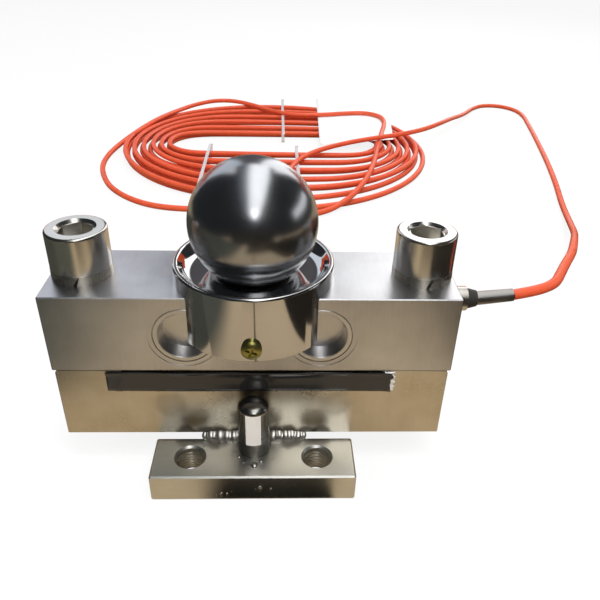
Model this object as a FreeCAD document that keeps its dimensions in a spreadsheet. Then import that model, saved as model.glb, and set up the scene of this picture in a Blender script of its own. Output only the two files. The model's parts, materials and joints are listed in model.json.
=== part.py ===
import FreeCAD, Part, Sketcher
import math
import os
import re

# Double-ended shear beam load cell with a steel ball, for a weighbridge.
# X runs along the beam, Y from front to rear, Z up. The origin is under the middle of
# the cell, on the surface that its two foot bars stand on. All sizes are millimetres.

doc = FreeCAD.newDocument("shear_beam_load_cell")
sheet = doc.addObject("Spreadsheet::Sheet", "Sizes")

SIZES = {
    # the two blocks
    "beam_length": 243.4,
    "beam_width": 60.0,
    "beam_height": 51.6,
    "base_height": 50.7,
    "end_inset": 1.5,
    "edge_break": 0.6,
    "shoulder_break": 1.5,
    "flex_gap": 1.5,
    "flex_length": 160.0,
    # foot bars and the rods on them
    "bar_length": 127.0,
    "bar_depth": 34.0,
    "bar_thickness": 20.0,
    "bar_setback": 0.5,
    "bar_gap": 4.0,
    "bar_break": 1.0,
    "tapped_radius": 8.75,
    "tapped_mouth": 1.35,
    "tapped_spacing": 80.0,
    "rod_radius": 10.0,
    "rod_height": 39.3,
    "rod_offset": 39.0,
    "rod_dome": 5.0,
    "weld_pitch": 3.6,
    "weld_radius": 4.2,
    "weld_start": 13.0,
    "sticker_width": 9.4,
    "sticker_height": 23.3,
    "sticker_rise": 11.0,
    "sticker_thickness": 0.3,
    # clamp screws and spring washers
    "clamp_spacing": 205.4,
    "screw_radius": 12.0,
    "screw_clearance": 0.5,
    "thread_allowance": 0.1,
    "screw_grip": 35.0,
    "tapping_spare": 5.0,
    "head_radius": 18.0,
    "head_height": 24.0,
    "head_round": 1.6,
    "socket_flats": 19.0,
    "socket_depth": 12.0,
    "socket_mouth": 2.0,
    "washer_radius": 18.2,
    "washer_thickness": 6.0,
    "washer_bore": 12.6,
    "washer_split": 2.0,
    # gauge pockets, their sealing cups and what they hold
    "pocket_spacing": 81.4,
    "pocket_drop": 26.2,
    "pocket_radius": 16.5,
    "web_thickness": 10.0,
    "spot_radius": 21.6,
    "spot_depth": 0.4,
    "flange_radius": 18.4,
    "flange_thickness": 1.2,
    "flange_clearance": 0.3,
    "cover_mouth": 15.3,
    "cover_floor": 13.5,
    "cover_depth": 9.0,
    "cover_wall": 1.0,
    "gauge_length": 10.0,
    "gauge_width": 8.0,
    "gauge_thickness": 0.3,
    "board_length": 12.0,
    "board_width": 6.0,
    "board_thickness": 1.5,
    "board_drop": 9.0,
    "web_hole_radius": 2.0,
    "web_hole_offset": 10.5,
    # ball, seat and cup
    "ball_radius": 38.1,
    "seat_radius": 23.0,
    "seat_depth": 14.0,
    "seat_rise": 1.5,
    "seat_clearance": 0.1,
    "seat_sink": 3.9,
    "seat_slack": 0.3,
    "cup_radius": 48.5,
    "cup_rise": 10.5,
    "cup_skirt": 31.0,
    "cup_hole": 27.0,
    "cup_rim": 2.8,
    "dish_foot": 8.5,
    "dish_round": 9.0,
    "cup_floor": 3.6,
    "cup_lip": 1.4,
    "cup_clearance": 0.15,
    "cup_screw_drop": 21.5,
    "cup_screw_radius": 3.0,
    "cup_screw_head": 6.0,
    "cup_screw_head_height": 3.8,
    "cup_screw_depth": 8.0,
    "cross_width": 1.4,
    "cross_length": 7.0,
    "cross_depth": 2.0,
    # cable gland and lead channel
    "gland_offset": 18.0,
    "gland_drop": 27.9,
    "gland_bore": 6.0,
    "gland_bore_depth": 12.0,
    "gland_fit": 0.1,
    "gland_flats": 17.0,
    "gland_flats_length": 8.0,
    "gland_ring": 8.2,
    "gland_ring_length": 9.3,
    "seal_radius": 7.2,
    "seal_tip": 5.4,
    "seal_length": 7.0,
    "sleeve_radius": 4.7,
    "sleeve_tip": 4.2,
    "sleeve_length": 24.6,
    "sleeve_rise": 6.7,
    "entry_straight": 5.0,
    "channel_radius": 2.5,
    "lead_radius": 1.5,
    # cable
    "cable_diameter": 7.2,
    "coil_x": 8.0,
    "coil_y": 630.0,
    "coil_length": 472.0,
    "coil_depth": 504.0,
    "coil_height": 30.0,
    "coil_hole_length": 330.0,
    "coil_hole_depth": 60.0,
    "coil_round": 9.0,
    "coil_hole_round": 5.0,
    "tie_thickness": 0.5,
    "tie_width": 4.5,
    "core_radius": 0.9,
    # label
    "label_left": 90.0,
    "label_right": 87.0,
    "label_height": 15.0,
    "label_drop": 0.6,
    "label_thickness": 0.25,
}

for row, (word, number) in enumerate(SIZES.items(), start=1):
    sheet.set(f"A{row}", word)
    sheet.set(f"B{row}", str(number))
    sheet.setAlias(f"B{row}", word)
doc.recompute()


# Places that several pieces share, as expressions of the sheet's words.

BASE_BOTTOM = "(bar_thickness + bar_gap)"
JOINT = f"({BASE_BOTTOM} + base_height)"
BEAM_TOP = f"({JOINT} + beam_height)"
FACE = "(beam_width / 2)"
END = "(beam_length / 2)"
POCKET_Z = f"({BEAM_TOP} - pocket_drop)"
GLAND_Z = f"({BEAM_TOP} - gland_drop)"
BALL_BOTTOM = f"({BEAM_TOP} - seat_sink)"
WASHER_TOP = f"({BEAM_TOP} + washer_thickness)"
BAR_INNER = f"({FACE} + bar_setback)"
GLAND_TIP = f"({END} + gland_flats_length + gland_ring_length)"
SEAL_TIP = f"({GLAND_TIP} + seal_length)"
COVER_BACK = f"({FACE} - spot_depth - cover_depth)"

SIDES = {"left": -1, "right": 1}
FACES = {"front": -1, "rear": 1}

NODES = []


def tied(text):
    """An expression of the sheet's words, with each word written as a cell of the sheet."""
    return re.sub(r"[a-z_]{4,}", lambda m: "Sizes." + m.group(0) if m.group(0) in SIZES else m.group(0), text)


def tie(thing, **expressions):
    """Binds properties of an object to expressions; __ in a name stands for a dot."""
    for name, text in expressions.items():
        thing.setExpression(name.replace("__", "."), tied(text))
    return thing


def at(thing, x="0", y="0", z="0"):
    """Binds the place of an object."""
    return tie(thing, Placement__Base__x=x, Placement__Base__y=y, Placement__Base__z=z)


def turned(thing, axis, angle):
    """Turns an object about an axis of its own, before its place is bound."""
    thing.Placement = FreeCAD.Placement(FreeCAD.Vector(), FreeCAD.Rotation(FreeCAD.Vector(*axis), angle))
    return thing


def node(thing, name):
    """Names a sub-part, so that it is written to its own file."""
    thing.Label = name
    NODES.append(thing)
    return thing


# Solids made from primitives.


def block(name, length, width, height, x="0", y="0", z="0"):
    """A box centred on x and y, standing on z."""
    box = tie(doc.addObject("Part::Box", name), Length=length, Width=width, Height=height)
    return at(box, f"{x} - ({length}) / 2", f"{y} - ({width}) / 2", z)


def upright(name, radius, height, x="0", y="0", z="0"):
    """A cylinder that stands on z."""
    return at(tie(doc.addObject("Part::Cylinder", name), Radius=radius, Height=height), x, y, z)


def along(name, axis, radius, length, x="0", y="0", z="0"):
    """A cylinder from a point along +X ("x"), +Y ("y") or -Y ("-y")."""
    cylinder = tie(doc.addObject("Part::Cylinder", name), Radius=radius, Height=length)
    turns = {"x": ((0, 1, 0), 90), "y": ((1, 0, 0), -90), "-y": ((1, 0, 0), 90)}
    turned(cylinder, *turns[axis])
    return at(cylinder, x, y, z)


def joined(name, *pieces):
    fuse = doc.addObject("Part::MultiFuse", name)
    fuse.Shapes = list(pieces)
    fuse.Refine = True
    return fuse


def cut(name, base, *tools):
    """base without the tools, each of which is an object of the document."""
    result = doc.addObject("Part::Cut", name)
    result.Base = base
    result.Tool = tools[0] if len(tools) == 1 else joined(name + "_tools", *tools)
    result.Refine = True
    return result


# Bodies made from sketches.


def body(name):
    made = doc.addObject("PartDesign::Body", name)
    return node(made, name)


def origin(owner, role):
    """One of a body's own origin planes or axes."""
    return next(f for f in owner.Origin.OriginFeatures if f.Role == role)


def sketch(owner, role, name, offset="0"):
    """A sketch on an origin plane of the body, moved along the plane's normal."""
    made = owner.newObject("Sketcher::SketchObject", name)
    made.AttachmentSupport = [(origin(owner, role), "")]
    made.MapMode = "FlatFace"
    tie(made, AttachmentOffset__Base__z=offset)
    return made


def bound(made, kind, *where, text, start):
    """Adds a dimension to a sketch and binds it."""
    index = made.addConstraint(Sketcher.Constraint(kind, *where, start))
    made.setExpression(f"Constraints[{index}]", tied(text))


def outline(made, *corners):
    """A closed outline of straight sides whose corners are bound to expressions."""
    first = made.GeometryCount
    count = len(corners)
    spots = [
        (40 * math.cos(2 * math.pi * i / count), 40 * math.sin(2 * math.pi * i / count))
        for i in range(count)
    ]
    for i in range(count):
        start, end = spots[i], spots[(i + 1) % count]
        made.addGeometry(Part.LineSegment(FreeCAD.Vector(*start, 0), FreeCAD.Vector(*end, 0)), False)
    for i in range(count):
        line = first + i
        made.addConstraint(Sketcher.Constraint("Coincident", line, 2, first + (i + 1) % count, 1))
        bound(made, "DistanceX", line, 1, text=corners[i][0], start=spots[i][0])
        bound(made, "DistanceY", line, 1, text=corners[i][1], start=spots[i][1])
    return made


def oblong(made, x, y, length, height):
    """A rectangle centred on a point of the sketch."""
    left, right = f"{x} - ({length}) / 2", f"{x} + ({length}) / 2"
    low, high = f"{y} - ({height}) / 2", f"{y} + ({height}) / 2"
    return outline(made, (left, low), (right, low), (right, high), (left, high))


def circle(made, x, y, radius):
    """A circle whose centre and radius are bound."""
    index = made.GeometryCount
    made.addGeometry(Part.Circle(FreeCAD.Vector(10, 10, 0), FreeCAD.Vector(0, 0, 1), 5), False)
    bound(made, "DistanceX", index, 3, text=x, start=10)
    bound(made, "DistanceY", index, 3, text=y, start=10)
    bound(made, "Radius", index, text=radius, start=5)
    return made


def feature(owner, kind, name, profile, **expressions):
    made = owner.newObject(kind, name)
    made.Profile = profile
    profile.Visibility = False
    return tie(made, **expressions)


def pad(owner, name, profile, length):
    return feature(owner, "PartDesign::Pad", name, profile, Length=length)


def pocket(owner, name, profile, depth, away=False):
    """Cuts against the sketch's normal, or along it where away is set."""
    doc.recompute()
    before = owner.Shape.Volume
    made = feature(owner, "PartDesign::Pocket", name, profile, Length=depth)
    made.Reversed = away
    doc.recompute()
    if not made.Shape.Volume < before:
        raise RuntimeError(f"{name} cuts nothing")
    return made


def spun(owner, name, profile, axis="V_Axis"):
    made = feature(owner, "PartDesign::Revolution", name, profile, Angle="360")
    made.ReferenceAxis = (profile, [axis])
    return made


def edges_where(shape, test):
    """Names of the edges whose middle points pass a test."""
    names = []
    for index, edge in enumerate(shape.Edges, start=1):
        middle = edge.valueAt((edge.FirstParameter + edge.LastParameter) / 2)
        if test(edge, middle):
            names.append(f"Edge{index}")
    return names


def dressed(owner, kind, name, base, size, test):
    """A fillet or a chamfer on the chosen edges of the body's last feature."""
    doc.recompute()
    made = owner.newObject(kind, name)
    made.Base = (base, edges_where(base.Shape, test))
    return tie(made, **{"Radius" if kind.endswith("Fillet") else "Size": size})


def value(word):
    return float(sheet.get(word))


def beam_top():
    return value("bar_thickness") + value("bar_gap") + value("base_height") + value("beam_height")


def gland_height():
    return beam_top() - value("gland_drop")


# The blocks.


def make_elastic_beam():
    """The bar that bends: clamped at both ends, loaded in the middle, with a gauge pocket each side."""
    beam = body("elastic_beam")
    plan = oblong(sketch(beam, "XY_Plane", "beam_plan", JOINT), "0", "0", "beam_length", "beam_width")
    bar = pad(beam, "beam_bar", plan, "beam_height")
    dressed(beam, "PartDesign::Chamfer", "beam_edges", bar, "edge_break", lambda edge, p: True)
    clamps = sketch(beam, "XY_Plane", "clamp_holes", BEAM_TOP)
    for side in SIDES.values():
        circle(clamps, f"{side} * clamp_spacing / 2", "0", "screw_radius + screw_clearance")
    pocket(beam, "clamp_bores", clamps, "beam_height")
    seat = circle(sketch(beam, "XY_Plane", "seat_hole", BEAM_TOP), "0", "0", "seat_radius")
    pocket(beam, "seat_bore", seat, "seat_depth")
    for word, sign in FACES.items():
        # the sketch plane's normal is -Y, so the front face lies at +offset
        face = f"{-sign} * {FACE}"
        cuts = (
            ("spot", "spot_radius", "spot_depth"),
            ("rebate", "flange_radius + flange_clearance", "spot_depth + flange_thickness"),
            ("chamber", "pocket_radius", "(beam_width - web_thickness) / 2"),
        )
        for what, radius, depth in cuts:
            rings = sketch(beam, "XZ_Plane", f"{what}_{word}_rings", face)
            for side in SIDES.values():
                circle(rings, f"{side} * pocket_spacing / 2", POCKET_Z, radius)
            pocket(beam, f"{what}_{word}", rings, depth, away=sign > 0)
        screw = sketch(beam, "XZ_Plane", f"cup_screw_{word}_hole", face)
        circle(screw, "0", f"{BEAM_TOP} - cup_screw_drop", "cup_screw_radius + thread_allowance")
        pocket(beam, f"cup_screw_{word}_bore", screw, "cup_screw_depth + 1", away=sign > 0)
    web = sketch(beam, "XZ_Plane", "web_holes", "web_thickness / 2")
    for side in SIDES.values():
        circle(web, f"{side} * (pocket_spacing / 2 + web_hole_offset)", GLAND_Z, "web_hole_radius")
    pocket(beam, "web_bores", web, "web_thickness")
    gland = circle(sketch(beam, "YZ_Plane", "gland_hole", END), "gland_offset", GLAND_Z, "gland_bore")
    pocket(beam, "gland_counterbore", gland, "gland_bore_depth")
    lead = circle(sketch(beam, "YZ_Plane", "lead_hole", END), "gland_offset", GLAND_Z, "channel_radius")
    pocket(beam, "lead_channel", lead, f"{END} + pocket_spacing / 2")


def make_base_block():
    """The block under the beam, relieved on top between the clamps so that the beam can bend."""
    base = body("base_block")
    length = "beam_length - 2 * end_inset"
    plan = oblong(sketch(base, "XY_Plane", "base_plan", BASE_BOTTOM), "0", "0", length, "beam_width")
    bar = pad(base, "base_bar", plan, "base_height")
    half = value("beam_length") / 2 - value("end_inset")
    top = value("bar_thickness") + value("bar_gap") + value("base_height")

    def on_shoulder(edge, p):
        return abs(abs(p.x) - half) < 0.1 and abs(p.z - top) < 0.1 and abs(p.y) < 1

    def elsewhere(edge, p):
        return not on_shoulder(edge, p) and p.z < top - 1

    shoulder = dressed(base, "PartDesign::Chamfer", "base_shoulders", bar, "shoulder_break", on_shoulder)
    dressed(base, "PartDesign::Chamfer", "base_edges", shoulder, "edge_break", elsewhere)
    relief = oblong(sketch(base, "XY_Plane", "flex_plan", JOINT), "0", "0", "flex_length", "beam_width")
    pocket(base, "flex_relief", relief, "flex_gap")
    clamps = sketch(base, "XY_Plane", "tapping_holes", JOINT)
    for side in SIDES.values():
        circle(clamps, f"{side} * clamp_spacing / 2", "0", "screw_radius + thread_allowance")
    pocket(base, "tapping_bores", clamps, "screw_grip + tapping_spare")


# Foot bars, the rods welded on them, and the welds.


def make_foot_bar(word, sign):
    """A flat bar along the cell, with two tapped holes for the bolts that hold it down."""
    bar = body(f"foot_bar_{word}")
    middle = f"{sign} * ({BAR_INNER} + bar_depth / 2)"
    plan = oblong(sketch(bar, "XY_Plane", f"bar_{word}_plan"), "0", middle, "bar_length", "bar_depth")
    flat = pad(bar, f"bar_{word}_flat", plan, "bar_thickness")
    dressed(bar, "PartDesign::Chamfer", f"bar_{word}_edges", flat, "bar_break", lambda edge, p: True)
    holes = sketch(bar, "XY_Plane", f"bar_{word}_holes", "bar_thickness")
    for side in SIDES.values():
        circle(holes, f"{side} * tapped_spacing / 2", middle, "tapped_radius")
    bored = pocket(bar, f"bar_{word}_bores", holes, "bar_thickness")
    radius, top = value("tapped_radius"), value("bar_thickness")

    def mouth(edge, p):
        round_one = isinstance(edge.Curve, Part.Circle) and abs(edge.Curve.Radius - radius) < 0.01
        return round_one and (abs(p.z - top) < 0.01 or abs(p.z) < 0.01)

    dressed(bar, "PartDesign::Chamfer", f"bar_{word}_mouths", bored, "tapped_mouth", mouth)


def make_stop_rod(word, sign):
    """A round rod standing on the foot bar, flattened where it lies against the base block."""
    turned_rod = doc.addObject("Part::Cylinder", f"rod_{word}_bar")
    tie(turned_rod, Radius="rod_radius", Height="rod_height - rod_dome")
    at(turned_rod, "0", f"{sign} * rod_offset", "bar_thickness")
    dome = tie(
        doc.addObject("Part::Ellipsoid", f"rod_{word}_dome"),
        Radius1="rod_dome", Radius2="rod_radius", Radius3="rod_radius", Angle1="0",
    )
    at(dome, "0", f"{sign} * rod_offset", "bar_thickness + rod_height - rod_dome")
    whole = joined(f"rod_{word}_whole", turned_rod, dome)
    wall = block(f"rod_{word}_wall", "4 * rod_radius", "2 * rod_radius", "2 * rod_height",
                 y=f"{sign} * ({FACE} - rod_radius)", z="bar_thickness")
    node(cut(f"stop_rod_{word}", whole, wall), f"stop_rod_{word}")


# Passes in each run of weld.
WELD_PASSES = 6


def make_weld(word, sign):
    """Two runs of overlapping weld passes between the foot bar and the base block."""
    passes = []
    for side in SIDES.values():
        for step in range(WELD_PASSES):
            name = f"weld_{word}_{'left' if side < 0 else 'right'}_{step}"
            bead = tie(
                doc.addObject("Part::Ellipsoid", name),
                Radius1="weld_radius", Radius2="weld_radius * 0.72", Radius3="weld_radius",
            )
            passes.append(at(
                bead, f"{side} * (weld_start + {step} * weld_pitch)",
                f"{sign} * ({FACE} + 0.6)", "bar_thickness + bar_gap / 2",
            ))
    runs = joined(f"weld_{word}_runs", *passes)
    base = block(f"weld_{word}_base", "beam_length", "beam_width", "base_height", z=BASE_BOTTOM)
    bar = block(f"weld_{word}_bar", "bar_length", "bar_depth", "bar_thickness",
                y=f"{sign} * ({BAR_INNER} + bar_depth / 2)", z="0")
    node(cut(f"weld_beads_{word}", runs, base, bar), f"weld_beads_{word}")


def make_sticker():
    """A small blank paper sticker bent round the front of the front rod."""
    outer = upright("sticker_outer", "rod_radius + sticker_thickness", "sticker_height",
                    y="-rod_offset", z="bar_thickness + sticker_rise")
    inner = upright("sticker_inner", "rod_radius", "sticker_height",
                    y="-rod_offset", z="bar_thickness + sticker_rise")
    shell = cut("sticker_shell", outer, inner)
    window = block("sticker_window", "sticker_width", "rod_radius * 1.1", "sticker_height",
                   y="-rod_offset - rod_radius * 0.65", z="bar_thickness + sticker_rise")
    part = doc.addObject("Part::Common", "rod_sticker")
    part.Base, part.Tool = shell, window
    node(part, "rod_sticker")


# Clamp screws.


def make_clamp_screw(word, side):
    """A socket head cap screw: turned head and shank, with a hexagon socket."""
    screw = body(f"clamp_screw_{word}")
    profile = outline(
        sketch(screw, "XZ_Plane", f"screw_{word}_profile"),
        ("0", f"{JOINT} - screw_grip"),
        ("screw_radius - 1.5", f"{JOINT} - screw_grip"),
        ("screw_radius", f"{JOINT} - screw_grip + 1.5"),
        ("screw_radius", WASHER_TOP),
        ("head_radius", WASHER_TOP),
        ("head_radius", f"{WASHER_TOP} + head_height"),
        ("0", f"{WASHER_TOP} + head_height"),
    )
    blank = spun(screw, f"screw_{word}_blank", profile)
    head_top = beam_top() + value("washer_thickness") + value("head_height")
    radius = value("head_radius")

    def rim(edge, p):
        return isinstance(edge.Curve, Part.Circle) and abs(p.z - head_top) < 0.01 and \
            abs(edge.Curve.Radius - radius) < 0.01

    dressed(screw, "PartDesign::Fillet", f"screw_{word}_rim", blank, "head_round", rim)
    flats = "socket_flats / sqrt(3)"
    corners = [
        (f"({flats}) * cos({60 * i + 30} deg)", f"({flats}) * sin({60 * i + 30} deg)") for i in range(6)
    ]
    face = sketch(screw, "XY_Plane", f"screw_{word}_hexagon", f"{WASHER_TOP} + head_height")
    hexagon = outline(face, *corners)
    pocket(screw, f"screw_{word}_socket", hexagon, "socket_depth")
    mouth = outline(
        sketch(screw, "XZ_Plane", f"screw_{word}_mouth"),
        ("0", f"{WASHER_TOP} + head_height - socket_mouth"),
        (f"{flats} - 0.6", f"{WASHER_TOP} + head_height - socket_mouth"),
        (f"{flats} + 1.0", f"{WASHER_TOP} + head_height"),
        (f"{flats} + 1.0", f"{WASHER_TOP} + head_height + 1"),
        ("0", f"{WASHER_TOP} + head_height + 1"),
    )
    groove = feature(screw, "PartDesign::Groove", f"screw_{word}_countersink", mouth, Angle="360")
    groove.ReferenceAxis = (mouth, ["V_Axis"])
    screw.Tip = groove
    at(screw, f"{side} * clamp_spacing / 2")


def make_spring_washer(word, side):
    """A split spring washer of square section."""
    outer = upright(f"washer_{word}_outer", "washer_radius", "washer_thickness",
                    f"{side} * clamp_spacing / 2", "0", BEAM_TOP)
    inner = upright(f"washer_{word}_inner", "washer_bore", "washer_thickness",
                    f"{side} * clamp_spacing / 2", "0", BEAM_TOP)
    split = turned(doc.addObject("Part::Box", f"washer_{word}_split"), (0, 1, 0), 20)
    tie(split, Length="washer_split", Width="washer_radius", Height="3 * washer_thickness")
    at(split, f"{side} * clamp_spacing / 2 - washer_thickness / 2 + 1", "0 - washer_radius",
       f"{BEAM_TOP} - washer_thickness / 2")
    node(cut(f"spring_washer_{word}", outer, inner, split), f"spring_washer_{word}")


# Ball, seat and cup.


def make_ball_and_seat():
    ball = tie(doc.addObject("Part::Sphere", "load_ball"), Radius="ball_radius")
    node(at(ball, z=f"{BALL_BOTTOM} + ball_radius"), "load_ball")
    pad_disc = upright("seat_disc", "seat_radius - seat_clearance", "seat_depth + seat_rise",
                       z=f"{BEAM_TOP} - seat_depth")
    hollow = tie(doc.addObject("Part::Sphere", "seat_hollow"), Radius="ball_radius + seat_slack")
    at(hollow, z=f"{BALL_BOTTOM} + ball_radius + seat_slack")
    node(cut("ball_seat", pad_disc, hollow), "ball_seat")


def make_ball_cup():
    """The cup that keeps the ball in place: a ring on the beam with two skirts that straddle it."""
    cup = body("ball_cup")
    profile = outline(
        sketch(cup, "XZ_Plane", "cup_profile"),
        ("cup_hole", f"{BEAM_TOP} - cup_skirt"),
        ("cup_radius", f"{BEAM_TOP} - cup_skirt"),
        ("cup_radius", f"{BEAM_TOP} + cup_rise"),
        ("cup_radius - cup_rim", f"{BEAM_TOP} + cup_rise"),
        ("cup_radius - dish_foot", f"{BEAM_TOP} + cup_floor"),
        ("cup_hole", f"{BEAM_TOP} + cup_floor"),
    )
    ring = spun(cup, "cup_ring", profile)
    top, rise, radius = beam_top(), value("cup_rise"), value("cup_radius")

    def lip(edge, p):
        return isinstance(edge.Curve, Part.Circle) and abs(p.z - top - rise) < 0.01

    def hem(edge, p):
        return isinstance(edge.Curve, Part.Circle) and abs(p.z - top + value("cup_skirt")) < 0.01 and \
            abs(edge.Curve.Radius - radius) < 0.01

    def foot(edge, p):
        return isinstance(edge.Curve, Part.Circle) and abs(p.z - top - value("cup_floor")) < 0.01 and \
            abs(edge.Curve.Radius - radius + value("dish_foot")) < 0.01

    lipped = dressed(cup, "PartDesign::Fillet", "cup_lip_round", ring, "cup_lip", lip)
    dished = dressed(cup, "PartDesign::Fillet", "cup_dish_round", lipped, "dish_round", foot)
    dressed(cup, "PartDesign::Chamfer", "cup_hem", dished, "edge_break", hem)
    slot = sketch(cup, "YZ_Plane", "cup_slot", "cup_radius + 1")
    oblong(slot, "0", f"{BEAM_TOP} - cup_skirt", "beam_width + 2 * cup_clearance", "2 * cup_skirt")
    pocket(cup, "cup_straddle", slot, "2 * cup_radius + 2")
    hole = sketch(cup, "XZ_Plane", "cup_screw_hole", "cup_radius + 1")
    circle(hole, "0", f"{BEAM_TOP} - cup_screw_drop", "cup_screw_radius + thread_allowance")
    cup.Tip = pocket(cup, "cup_screw_bores", hole, "2 * cup_radius + 2")


def make_cup_screw(word, sign):
    """A pan head screw with a cross recess, through the skirt into the beam."""
    height = f"{BEAM_TOP} - cup_screw_drop"
    outward = {-1: "-y", 1: "y"}[sign]
    inner_end = f"{sign} * ({FACE} - cup_screw_depth)"
    shank = along(f"cup_screw_{word}_shank", outward, "cup_screw_radius",
                  f"cup_radius - {FACE} + cup_screw_depth + 0.5", "0", inner_end, height)
    head = along(f"cup_screw_{word}_pan", outward, "cup_screw_head", "cup_screw_head_height",
                 "0", f"{sign} * cup_radius", height)
    rounded = doc.addObject("Part::Ellipsoid", f"cup_screw_{word}_crown")
    tie(rounded, Radius1="cup_screw_head_height + 0.4", Radius2="cup_screw_head + 0.8",
        Radius3="cup_screw_head + 0.8")
    turned(rounded, (1, 0, 0), 90)
    at(rounded, "0", f"{sign} * cup_radius", height)
    crowned = doc.addObject("Part::Common", f"cup_screw_{word}_crowned")
    crowned.Base, crowned.Tool = head, rounded
    whole = joined(f"cup_screw_{word}_whole", shank, crowned)
    slots = []
    for index, angle in enumerate((20, 110)):
        bar = doc.addObject("Part::Box", f"cup_screw_{word}_slot_{index}")
        tie(bar, Length="cross_length", Width="cross_depth + 2", Height="cross_width")
        turn = FreeCAD.Rotation(FreeCAD.Vector(0, 1, 0), angle)
        half = turn.multVec(FreeCAD.Vector(value("cross_length") / 2, 0, value("cross_width") / 2))
        bar.Placement = FreeCAD.Placement(FreeCAD.Vector(), turn)
        start = "cup_radius + cup_screw_head_height - cross_depth"
        start_y = start if sign > 0 else f"-({start}) - cross_depth - 2"
        slots.append(at(bar, f"{-half.x}", start_y, f"{height} - {half.z}"))
    node(cut(f"cup_screw_{word}", whole, *slots), f"cup_screw_{word}")


# Gauge pockets: sealing cups, gauges, boards and leads.


def make_gauge_cover(side_word, side, face_word, sign):
    """A pressed sealing cup with a rounded flange, let into the beam's face."""
    cover = body(f"gauge_cover_{side_word}_{face_word}")
    name = f"cover_{side_word}_{face_word}"
    out = f"({FACE} - spot_depth)"
    profile = outline(
        sketch(cover, "XY_Plane", f"{name}_profile"),
        ("0", f"{out} - cover_depth"),
        ("cover_floor", f"{out} - cover_depth"),
        ("cover_mouth", f"{out} - flange_thickness * 0.3"),
        ("cover_mouth + 0.5", out),
        ("flange_radius - 0.4", out),
        ("flange_radius", f"{out} - 0.4"),
        ("flange_radius", f"{out} - flange_thickness"),
        ("cover_mouth + cover_wall", f"{out} - flange_thickness"),
        ("cover_floor + cover_wall", f"{out} - cover_depth - cover_wall"),
        ("0", f"{out} - cover_depth - cover_wall"),
    )
    spun(cover, f"{name}_shell", profile)
    if sign < 0:
        turned(cover, (1, 0, 0), 180)
    at(cover, f"{side} * pocket_spacing / 2", "0", POCKET_Z)


def make_gauge(side_word, side, face_word, sign):
    """A foil strain gauge bonded to the web at the bottom of its pocket."""
    name = f"strain_gauge_{side_word}_{face_word}"
    patch = block(name, "gauge_length", "gauge_thickness", "gauge_width",
                  f"{side} * pocket_spacing / 2", f"{sign} * (web_thickness + gauge_thickness) / 2",
                  f"{POCKET_Z} - gauge_width / 2")
    node(patch, name)


def make_terminal_board(side_word, side):
    """The solder board beside the rear gauge, where the leads are joined."""
    name = f"terminal_board_{side_word}"
    board = block(name, "board_length", "board_thickness", "board_width",
                  f"{side} * pocket_spacing / 2", "(web_thickness + board_thickness) / 2",
                  f"{POCKET_Z} - board_drop - board_width / 2")
    node(board, name)


# Tubes along routes of straight runs joined by arcs.


def rounded_route(points, share=0.45):
    """The route's path as one wire, and its radii: each arc takes a share of its shorter run."""
    spots = [FreeCAD.Vector(*p) for p in points]
    edges, radii, last = [], [], spots[0]
    for before, corner, after in zip(spots, spots[1:], spots[2:]):
        arriving, leaving = corner - before, after - corner
        turn = arriving.getAngle(leaving)
        reach = share * min(arriving.Length, leaving.Length)
        radii.append(reach / math.tan(turn / 2))
        arriving.normalize()
        leaving.normalize()
        start, end = corner - arriving * reach, corner + leaving * reach
        middle_way = leaving - arriving
        middle_way.normalize()
        sag = radii[-1] * (1 / math.cos(turn / 2) - 1)
        edges.append(Part.LineSegment(last, start).toShape())
        edges.append(Part.Arc(start, corner + middle_way * sag, end).toShape())
        last = end
    edges.append(Part.LineSegment(last, spots[-1]).toShape())
    return Part.Wire(edges), radii


def tube(points, radius, share=0.45):
    """A round tube along a route, checked against its section times its length."""
    path, radii = rounded_route(points, share)
    start = FreeCAD.Vector(*points[0])
    ring = Part.Wire([Part.Circle(start, FreeCAD.Vector(*points[1]) - start, radius).toShape()])
    solid = path.makePipeShell([ring], True, False)
    expected = math.pi * radius ** 2 * path.Length
    if abs(solid.Volume - expected) > 0.01 * expected:
        raise RuntimeError(f"tube volume {solid.Volume:.0f}, expected {expected:.0f}")
    return solid, path.Length, radii


def shaped(name, shape):
    """A sub-part whose shape is worked out here from the sheet's values."""
    made = doc.addObject("Part::Feature", name)
    made.Shape = shape
    return node(made, name)


def make_lead_wires():
    """The bundle of leads from the gland through the channel to the two terminal boards."""
    radius, y, z = value("lead_radius"), value("gland_offset"), gland_height()
    half = value("beam_length") / 2
    board_y = value("web_thickness") / 2 + value("board_thickness") + radius
    board_z = beam_top() - value("pocket_drop") - value("board_drop")
    spot = value("pocket_spacing") / 2
    inner = half - value("gland_bore_depth")
    main = tube([(inner, y, z), (spot + 10, y, z), (spot + 4, board_y + 4, board_z + 3),
                 (spot, board_y - radius + 0.01, board_z)], radius)[0]
    link = tube([(spot, board_y - radius + 0.01, board_z), (spot - 6, board_y + 4, board_z + 3),
                 (spot - 12, y, z), (-spot + 10, y, z), (-spot + 4, board_y + 4, board_z + 3),
                 (-spot, board_y - radius + 0.01, board_z)], radius)[0]
    web_y = value("web_thickness") / 2 + value("board_thickness")
    deep = value("beam_height")
    wall = Part.makeBox(4 * spot, web_y, deep, FreeCAD.Vector(-2 * spot, 0, z - deep / 2))
    shaped("lead_wires", main.fuse(link).cut(wall))


# Gland, sleeve and cable.


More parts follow.
